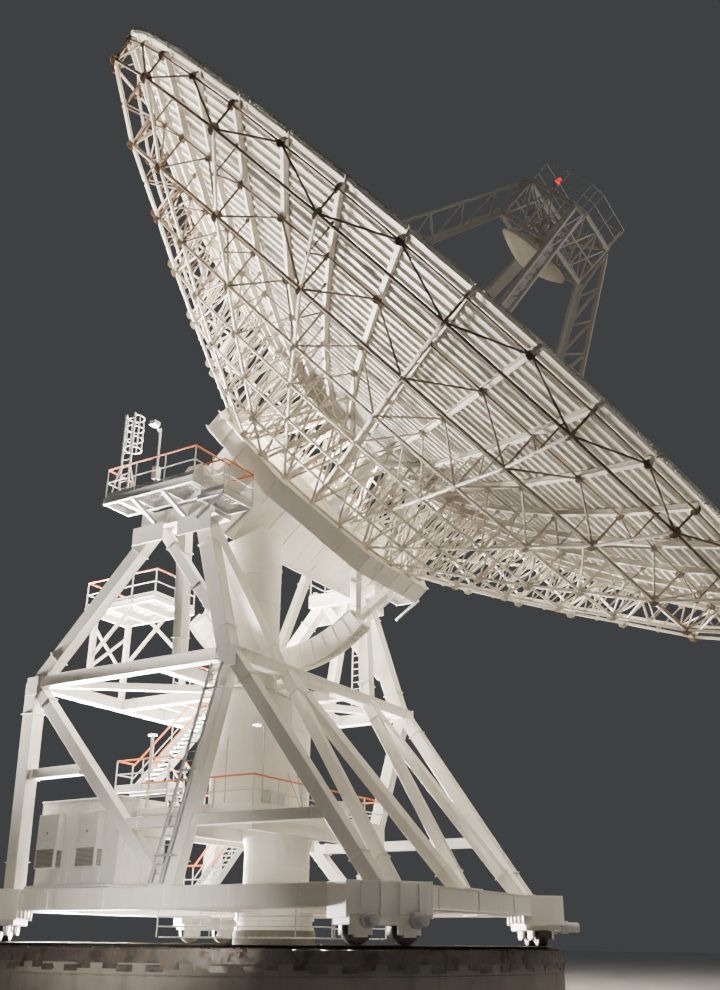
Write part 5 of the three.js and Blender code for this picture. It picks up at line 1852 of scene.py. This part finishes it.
def bowl_copies(model, patches):
    """Bends copies of a unit model onto the bowl; a patch is (r0, r1, a0, a1, low, high)."""
    points = model[0]
    mapped = []
    for r0, r1, a0, a1, low, high in patches:
        r = r0 + (r1 - r0) * points[:, 0]
        a = np.radians(a0 + (a1 - a0) * points[:, 1])
        n = SHEET_BACK_N + r * r / (4 * FOCAL) + low + (high - low) * points[:, 2]
        mapped.append(np.stack([r * np.cos(a), r * np.sin(a), n], axis=1))
    return repeat(model, mapped)


PANEL_RINGS = [1.3, 3.2, 5.3, 7.4, 9.3, 11.2, 13.1, 15.0, 17.0]
NARROW_FROM = 5.3
SHEET_THICKNESS = 0.04
HAT_WIDTH = 0.1


def panel_width(r):
    """Angle of one panel of the ring at radius r, in degrees."""
    return 7.5 if r >= NARROW_FROM else 15.0


def make_panels():
    """Four quarters of separate panels with their pressed stiffeners."""
    sizes = bpy.context.scene.dish_lattice
    blank, hat = panel_model(), stiffener_model()
    depth = SHEET_FRONT_N - SHEET_BACK_N
    back, gap, pitch = depth - SHEET_THICKNESS, sizes.seam / 2, sizes.stiffener_pitch
    rim = RIM_R - 0.03
    for quarter in range(4):
        start = quarter * 90
        sheets, hats = [], []
        for r0, r1 in zip(PANEL_RINGS, PANEL_RINGS[1:]):
            wide, slack = panel_width(r0), math.degrees(gap / ((r0 + r1) / 2))
            outer = r1 - (gap if r1 < RIM_R else 0)
            for k in range(int(90 / wide)):
                a0 = start + k * wide
                sheets.append((r0 + gap, outer, a0 + slack, a0 + wide - slack, back, depth))
        for i in range(int((RIM_R - 1.5) / pitch)):
            r = 1.45 + i * pitch
            wide, slack = panel_width(r), math.degrees(0.105 / r)
            for k in range(int(90 / wide)):
                a0 = start + k * wide
                hats.append((r, r + HAT_WIDTH, a0 + slack, a0 + wide - slack, 0.0, back))
        for k in range(12):
            a0 = start + k * 7.5
            hats.append((RIM_R - 0.13, rim, a0 + 0.2, a0 + 7.3, 0.0, back))
            for tooth in range(11):
                at = a0 + 0.4 + tooth * 0.65
                hats.append((rim, RIM_R - 0.002, at, at + 0.3, 0.02, back))
        for name, model, patches, finish, nodes in (
            ("panels", blank, sheets, "sheet", [f"panel_quarter_{quarter + 1}"]),
            ("panel_stiffeners", hat, hats, "panel", ()),
        ):
            copies = bowl_copies(model, patches)
            piece(
                f"{name}_{quarter + 1}", [copies], finish, nodes, body="reflector", smooth=25,
            )


# Feed support.
LEG_INNER = (Vector((7.1, 0, 6.35)), Vector((2.19, 0, 15.86)))
LEG_OUTER = (Vector((8.62, 0, 6.85)), Vector((2.19, 0, 17.5)))
LEG_HALF = 0.2
APEX_N0, APEX_N1 = 15.76, 17.58


def leg_point(line, share, side=0.0):
    """A point along one of a leg's chords."""
    p = line[0].lerp(line[1], share)
    return Vector((p.x, side, p.z))


def make_feed_legs():
    """Four lattice legs: a box girder inside, two tubes outside, laced on both faces."""
    bays = 9
    for number in range(4):
        turn = Matrix.Rotation(math.radians(45 + 90 * number), 4, "Z")
        girder = [(*LEG_INNER, 0.46, 0.3, ACROSS)]
        bars = []
        for side in (-LEG_HALF, LEG_HALF):
            bars.append((leg_point(LEG_OUTER, 0, side), leg_point(LEG_OUTER, 1, side), 0.13))
            for i in range(bays):
                low, high = i / bays, (i + 1) / bays
                middle = (low + high) / 2
                start = leg_point(LEG_OUTER, low, side)
                inner = leg_point(LEG_INNER, middle, side)
                bars.append((start, inner, 0.075))
                bars.append((inner, leg_point(LEG_OUTER, high, side), 0.075))
        for i in range(bays + 1):
            share = min(i / bays, 0.995)
            left = leg_point(LEG_OUTER, share, -LEG_HALF)
            right = leg_point(LEG_OUTER, share, LEG_HALF)
            bars.append((left, right, 0.06))
            if i < bays:
                bars.append((left, leg_point(LEG_OUTER, (i + 1) / bays, LEG_HALF), 0.05))
        feet = []
        for line, wide in ((LEG_INNER, 0.8), (LEG_OUTER, 0.7)):
            foot = line[0]
            sheet = SHEET_FRONT_N + foot.x ** 2 / (4 * FOCAL)
            slope = Vector((1, 0, foot.x / (2 * FOCAL))).normalized()
            normal = Vector((-slope.z, 0, slope.x))
            base = Vector((foot.x, 0, sheet + 0.005))
            feet.append((base, base + normal * 0.06, wide, 0.84, BACKWARD))
            feet.append((base + normal * 0.06, base + normal * 0.4, 0.05, 0.5, BACKWARD))
            feet.append((base + normal * 0.06, base + normal * 0.4, 0.5, 0.05, BACKWARD))
        piece(f"feed_leg_lattice_{number + 1}", [
            tubes(bars), beams(girder), plates(feet),
        ], "truss", [f"feed_leg_{number + 1}"], body="reflector", smooth=40, turn=turn)


def apex_corners(n, half=1.68, cut=1.26):
    """The eight corners of the apex frame at one level."""
    flat = [
        (half, -cut), (half, cut), (cut, half), (-cut, half),
        (-half, cut), (-half, -cut), (-cut, -half), (cut, -half),
    ]
    return [Vector((x, y, n)) for x, y in flat]


def make_apex_frame():
    """The open frame that carries the small mirror, its walkway rail and the mirror's post."""
    low, high = apex_corners(APEX_N0 + 0.08), apex_corners(APEX_N1)
    middle = apex_corners((APEX_N0 + APEX_N1) / 2)
    bars, girders = [], []
    for i in range(8):
        j = (i + 1) % 8
        girders.append((low[i], low[j], 0.14, 0.16, UP))
        girders.append((high[i], high[j], 0.14, 0.16, UP))
        bars.append((low[i], high[i], 0.11))
        bars.append((middle[i], middle[j], 0.06))
        if (high[i] - high[j]).length > 1:
            centre_high = (high[i] + high[j]) / 2
            centre_low = (low[i] + low[j]) / 2
            for a, b in ((low[i], centre_high), (low[j], centre_high), (centre_low, centre_high)):
                bars.append((a, b, 0.075))
            bars.append((high[i], centre_low, 0.06))
            bars.append((high[j], centre_low, 0.06))
    ring = [polar(0.55, 45 * k + 22.5, 16.55) for k in range(8)]
    for i in range(8):
        bars.append((ring[i], ring[(i + 1) % 8], 0.08))
        bars.append((ring[i], high[(i + 1) % 8], 0.07))
        bars.append((ring[i], low[(i + 1) % 8], 0.07))
        bars.append((ring[i], polar(0.35, 45 * i, 16.08), 0.06))
    for n in (17.2, 16.95):
        girders.append(((-1.6, 0, n), (1.6, 0, n), 0.12, 0.14, UP))
        girders.append(((0, -1.6, n - 0.01), (0, 1.6, n - 0.01), 0.12, 0.14, UP))
    thin = []
    for i in range(8):
        j = (i + 1) % 8
        for height in (0.5, 1.0):
            up = lift(height)
            thin.append((high[i] + up, high[j] + up, 0.04))
        thin.append((high[i], high[i] + lift(1.0), 0.045))
        centre = (high[i] + high[j]) / 2
        thin.append((centre, centre + lift(1.0), 0.04))
    post = new_rod(0.24, 1.0, 20, centre=(0, 0, 16.55), bevel=0.03)
    pick_faces(post, lambda c, n: n.z < -0.9)
    bpy.ops.mesh.extrude_region_move(TRANSFORM_OT_translate={"value": (0, 0, -0.01)})
    bpy.ops.transform.resize(value=(1.7, 1.7, 1))
    post = take_model(post)
    parts = [tubes(bars), beams(girders), rails(thin), post]
    piece("apex_lattice", parts, "truss", ["apex_frame"], body="reflector", smooth=40)


def make_subreflector():
    """The small mirror: a smooth bulge towards the dish, a rolled rim and a ribbed back."""
    radius, rings = 1.6, 14
    profile = []
    for k in range(rings + 1):
        r = radius * math.sin(k / rings * math.pi / 2)
        profile.append((r, 14.86 + 0.53 * (r / radius) ** 1.7))
    profile += [(1.64, 15.41), (1.65, 15.47), (1.62, 15.51), (1.56, 15.5), (1.1, 15.62)]
    profile += [(0.5, 15.78), (0.46, 15.98), (0.4, 16.02), (0.0, 16.02)]
    shell = take_model(turned_object("mirror_shell", profile, 48))
    fins = []
    for k in range(12):
        fins.append((polar(0.46, 30 * k, 15.84), polar(1.5, 30 * k, 15.56), 0.03, 0.14, UP))
    piece(
        "small_mirror", [shell, plates(fins)], "mirror", ["subreflector"], body="reflector",
        smooth=35,
    )


def make_aviation_lamp():
    """Post with its braces, cap and red lens of the warning lamp."""
    v = 1.64
    post = [((0, v, 17.62), (0, v, 18.44), 0.07)]
    post += [((0, v, 17.65), (0.3, v - 0.02, 17.64), 0.04)]
    post += [((0, v, 18.1), (0.28, v - 0.02, 17.66), 0.035)]
    profile = [(0, 18.4), (0.12, 18.4), (0.13, 18.43), (0.12, 18.47), (0, 18.47)]
    cap = turned_object("cap", profile, 20)
    cap.data.transform(Matrix.Translation((0, v, 0)))
    piece("warning_lamp_post", [rails(post), take_model(cap)], "grey", body="reflector", smooth=40)
    profile = [(0, 18.475), (0.105, 18.475)]
    for k in range(7):
        z, taper = 18.48 + k * 0.036, 0.002 * k * k * 0.6
        profile += [(0.118 - taper, z + 0.012), (0.105 - taper, z + 0.03)]
    profile += [(0.03, 18.75), (0, 18.756)]
    lens = turned_object("lens", profile, 20)
    lens.data.transform(Matrix.Translation((0, v, 0)))
    lens.name = "warning_lamp_lens"
    finish_piece(lens, "red_lamp", ["aviation_lamp"], body="reflector")


# Stage. Each soft light is (name, place, target, size, power, colour, spread in degrees).
LIGHTS = (
    ("low_back", (13, 23, 3.5), (0, -4, 23), 6, 85000, (1.0, 0.95, 0.86), 95),
    ("far_back", (-8, 31, 2.2), (-5, -4, 28), 3.6, 26000, (1.0, 0.95, 0.87), 54),
    ("low_inside", (1.5, 11, 2.6), (-3.5, -3, 11), 4, 8500, (1.0, 0.97, 0.92), 130),
    ("hub_glow", (4.0, 9, 12.6), (-1, -1, 22), 2.5, 8000, (1.0, 0.97, 0.9), 180),
    ("high_front", (10, -46, 34), (0, -4, 24), 16, 5000, (0.97, 0.98, 1.0), 180),
    ("low_front", (-26, -12, 1.5), (-6, 1, 3.0), 2.5, 160, (1.0, 0.96, 0.88), 24),
)
KEY_PLACE, KEY_TARGET = (-30, -22, 34), (0, 0, 12)
CAMERA_FORWARD = (0.78306, 0.47731, 0.39874)
CAMERA_YAW, CAMERA_ROLL = math.radians(58.6), math.radians(0.52)
FLOOR_SIZE, FLOOR_Z = 600, -0.002


def new_light(name, kind, place, target, power, colour):
    """A light at its place, turned to a point."""
    lamp = bpy.data.lights.new(name, kind)
    lamp.energy = power
    lamp.color = colour
    obj = bpy.data.objects.new(name, lamp)
    bpy.context.scene.collection.objects.link(obj)
    obj.location = place
    away = Vector(target) - obj.location
    obj.rotation_euler = away.to_track_quat("-Z", "Y").to_euler()
    return lamp


def make_stage():
    """Floor, backdrop, soft lights and the camera."""
    stage = bpy.context.scene.dish_stage
    deselect()
    bpy.ops.mesh.primitive_plane_add(size=FLOOR_SIZE, location=(0, 0, FLOOR_Z))
    floor = bpy.context.object
    floor.name = "floor"
    floor.data.materials.append(look("floor"))
    world = bpy.data.worlds.new("backdrop")
    bpy.context.scene.world = world
    world.use_nodes = True
    background = world.node_tree.nodes["Background"]
    background.inputs["Color"].default_value = (0.93, 0.95, 1.0, 1)
    background.inputs["Strength"].default_value = stage.sky
    key = new_light("soft_key", "SUN", KEY_PLACE, KEY_TARGET, stage.key, (1.0, 0.97, 0.93))
    key.angle = math.radians(30)
    for name, place, target, size, power, colour, spread in LIGHTS:
        lamp = new_light(name, "AREA", place, target, power * stage.glow, colour)
        lamp.size = size
        lamp.spread = math.radians(spread)
    lens = bpy.data.cameras.new("camera")
    lens.lens = stage.lens
    lens.sensor_width = 36
    lens.clip_end = 2000
    camera = bpy.data.objects.new("camera", lens)
    bpy.context.scene.collection.objects.link(camera)
    forward = Vector(CAMERA_FORWARD).normalized()
    level = Vector((math.cos(CAMERA_YAW), -math.sin(CAMERA_YAW), 0))
    upright = level.cross(forward)
    cos_r, sin_r = math.cos(CAMERA_ROLL), math.sin(CAMERA_ROLL)
    right, up = cos_r * level + sin_r * upright, -sin_r * level + cos_r * upright
    basis = Matrix((right, up, -forward)).transposed().to_4x4()
    camera.matrix_world = Matrix.Translation(stage.camera_place) @ basis
    bpy.context.scene.camera = camera


# Operators.
class DISH_OT_foundation(bpy.types.Operator):
    """Builds the ring wall, its steel edge and the rail."""

    bl_idname = "dish.foundation"
    bl_label = "Foundation"

    def execute(self, context):
        make_foundation()
        return {"FINISHED"}


class DISH_OT_wheel_trucks(bpy.types.Operator):
    """Builds the four wheel trucks with their wheels and drives."""

    bl_idname = "dish.wheel_trucks"
    bl_label = "Wheel trucks"

    def execute(self, context):
        make_wheel_trucks()
        return {"FINISHED"}


class DISH_OT_base_frame(bpy.types.Operator):
    """Builds the base girders, the centre bearing and the pier walkway."""

    bl_idname = "dish.base_frame"
    bl_label = "Base frame"

    def execute(self, context):
        make_base_frame()
        return {"FINISHED"}


class DISH_OT_side_frames(bpy.types.Operator):
    """Builds the two braced side frames."""

    bl_idname = "dish.side_frames"
    bl_label = "Side frames"

    def execute(self, context):
        make_side_frames()
        return {"FINISHED"}


class DISH_OT_front_legs(bpy.types.Operator):
    """Builds the four inner front legs."""

    bl_idname = "dish.front_legs"
    bl_label = "Front legs"

    def execute(self, context):
        make_front_legs()
        return {"FINISHED"}


class DISH_OT_middle_floor(bpy.types.Operator):
    """Builds the girders and walks of the middle floor."""

    bl_idname = "dish.middle_floor"
    bl_label = "Middle floor"

    def execute(self, context):
        make_ring()
        return {"FINISHED"}


class DISH_OT_towers(bpy.types.Operator):
    """Builds the two bearing towers."""

    bl_idname = "dish.towers"
    bl_label = "Bearing towers"

    def execute(self, context):
        make_towers()
        return {"FINISHED"}


class DISH_OT_bearings(bpy.types.Operator):
    """Finishes the bearing blocks and builds their rings."""

    bl_idname = "dish.bearings"
    bl_label = "Bearings"

    def execute(self, context):
        make_bearings()
        return {"FINISHED"}


class DISH_OT_platforms(bpy.types.Operator):
    """Builds the platforms beside the bearings."""

    bl_idname = "dish.platforms"
    bl_label = "Bearing platforms"

    def execute(self, context):
        make_platforms()
        return {"FINISHED"}


class DISH_OT_tubes(bpy.types.Operator):
    """Builds the central tube, the drum and the upper tube."""

    bl_idname = "dish.tubes"
    bl_label = "Tubes and drum"

    def execute(self, context):
        make_tubes()
        return {"FINISHED"}


class DISH_OT_lower_deck(bpy.types.Operator):
    """Builds the deck with its rails, posts and boxes."""

    bl_idname = "dish.lower_deck"
    bl_label = "Lower deck"

    def execute(self, context):
        make_lower_deck()
        return {"FINISHED"}


class DISH_OT_cabin(bpy.types.Operator):
    """Builds the equipment cabin and its cooling units."""

    bl_idname = "dish.cabin"
    bl_label = "Cabin"

    def execute(self, context):
        make_cabin()
        return {"FINISHED"}


class DISH_OT_ladders(bpy.types.Operator):
    """Builds the leg ladder and the caged ladder."""

    bl_idname = "dish.ladders"
    bl_label = "Ladders"

    def execute(self, context):
        make_ladders()
        return {"FINISHED"}


class DISH_OT_stairs(bpy.types.Operator):
    """Builds the two stairs."""

    bl_idname = "dish.stairs"
    bl_label = "Stairs"

    def execute(self, context):
        make_stairs()
        return {"FINISHED"}


class DISH_OT_rear_walkway(bpy.types.Operator):
    """Builds the landing behind the tubes."""

    bl_idname = "dish.rear_walkway"
    bl_label = "Rear landing"

    def execute(self, context):
        make_rear_walkway()
        return {"FINISHED"}


class DISH_OT_elevation_drive(bpy.types.Operator):
    """Builds the gearbox and motors."""

    bl_idname = "dish.elevation_drive"
    bl_label = "Elevation drive"

    def execute(self, context):
        make_elevation_drive()
        return {"FINISHED"}


class DISH_OT_girder(bpy.types.Operator):
    """Builds the tipping girder and its trunnions."""

    bl_idname = "dish.girder"
    bl_label = "Tipping girder"

    def execute(self, context):
        make_girder()
        return {"FINISHED"}


class DISH_OT_hub_ring(bpy.types.Operator):
    """Builds the ring girder behind the dish and its lattice."""

    bl_idname = "dish.hub_ring"
    bl_label = "Hub ring"

    def execute(self, context):
        make_hub_ring()
        return {"FINISHED"}


class DISH_OT_wheel(bpy.types.Operator):
    """Builds the elevation wheel and its struts."""

    bl_idname = "dish.wheel"
    bl_label = "Elevation wheel"

    def execute(self, context):
        make_wheel()
        return {"FINISHED"}


class DISH_OT_vertex_tube(bpy.types.Operator):
    """Builds the tube and plate in the bowl's middle."""

    bl_idname = "dish.vertex_tube"
    bl_label = "Vertex tube"

    def execute(self, context):
        make_vertex_tube()
        return {"FINISHED"}


class DISH_OT_back_truss(bpy.types.Operator):
    """Builds the lattice behind the panels."""

    bl_idname = "dish.back_truss"
    bl_label = "Back structure"

    def execute(self, context):
        make_back_truss()
        return {"FINISHED"}


class DISH_OT_panels(bpy.types.Operator):
    """Builds the reflector panels with their pressed ribs."""

    bl_idname = "dish.panels"
    bl_label = "Panels"

    def execute(self, context):
        make_panels()
        return {"FINISHED"}


class DISH_OT_feed_legs(bpy.types.Operator):
    """Builds the four feed legs."""

    bl_idname = "dish.feed_legs"
    bl_label = "Feed legs"

    def execute(self, context):
        make_feed_legs()
        return {"FINISHED"}


class DISH_OT_apex_frame(bpy.types.Operator):
    """Builds the frame at the focus."""

    bl_idname = "dish.apex_frame"
    bl_label = "Apex frame"

    def execute(self, context):
        make_apex_frame()
        return {"FINISHED"}


class DISH_OT_small_mirror(bpy.types.Operator):
    """Builds the small mirror."""

    bl_idname = "dish.small_mirror"
    bl_label = "Small mirror"

    def execute(self, context):
        make_subreflector()
        return {"FINISHED"}


class DISH_OT_warning_lamp(bpy.types.Operator):
    """Builds the red lamp and its post."""

    bl_idname = "dish.warning_lamp"
    bl_label = "Warning lamp"

    def execute(self, context):
        make_aviation_lamp()
        return {"FINISHED"}


class DISH_OT_stage(bpy.types.Operator):
    """Sets up the floor, the backdrop, the lights and the camera."""

    bl_idname = "dish.stage"
    bl_label = "Stage"

    def execute(self, context):
        make_stage()
        return {"FINISHED"}


OPERATORS = [
    DISH_OT_foundation,
    DISH_OT_wheel_trucks,
    DISH_OT_base_frame,
    DISH_OT_side_frames,
    DISH_OT_front_legs,
    DISH_OT_middle_floor,
    DISH_OT_towers,
    DISH_OT_bearings,
    DISH_OT_platforms,
    DISH_OT_tubes,
    DISH_OT_lower_deck,
    DISH_OT_cabin,
    DISH_OT_ladders,
    DISH_OT_stairs,
    DISH_OT_rear_walkway,
    DISH_OT_elevation_drive,
    DISH_OT_girder,
    DISH_OT_hub_ring,
    DISH_OT_wheel,
    DISH_OT_vertex_tube,
    DISH_OT_back_truss,
    DISH_OT_panels,
    DISH_OT_feed_legs,
    DISH_OT_apex_frame,
    DISH_OT_small_mirror,
    DISH_OT_warning_lamp,
    DISH_OT_stage,
]
SETTINGS = {
    "dish_finish": DishFinishSettings,
    "dish_lattice": DishLatticeSettings,
    "dish_stage": DishStageSettings,
}


class DISH_PT_panel(bpy.types.Panel):
    """The dish's pieces and settings."""

    bl_label = "Radio Telescope Dish"
    bl_idname = "DISH_PT_panel"
    bl_space_type = "VIEW_3D"
    bl_region_type = "UI"
    bl_category = "Dish"

    def draw(self, context):
        layout = self.layout
        for name, kind in SETTINGS.items():
            box = layout.box()
            for key in kind.__annotations__:
                box.prop(getattr(context.scene, name), key)
        for made in OPERATORS:
            layout.operator(made.bl_idname)


def register():
    for name, kind in SETTINGS.items():
        bpy.utils.register_class(kind)
        setattr(bpy.types.Scene, name, bpy.props.PointerProperty(type=kind))
    for made in OPERATORS:
        made.bl_options = {"REGISTER", "UNDO"}
        bpy.utils.register_class(made)
    bpy.utils.register_class(DISH_PT_panel)


def unregister():
    bpy.utils.unregister_class(DISH_PT_panel)
    for made in reversed(OPERATORS):
        bpy.utils.unregister_class(made)
    for name, kind in SETTINGS.items():
        delattr(bpy.types.Scene, name)
        bpy.utils.unregister_class(kind)


def main():
    register()
    for made in OPERATORS:
        group, name = made.bl_idname.split(".")
        getattr(getattr(bpy.ops, group), name)()


if __name__ == "__main__":
    main()
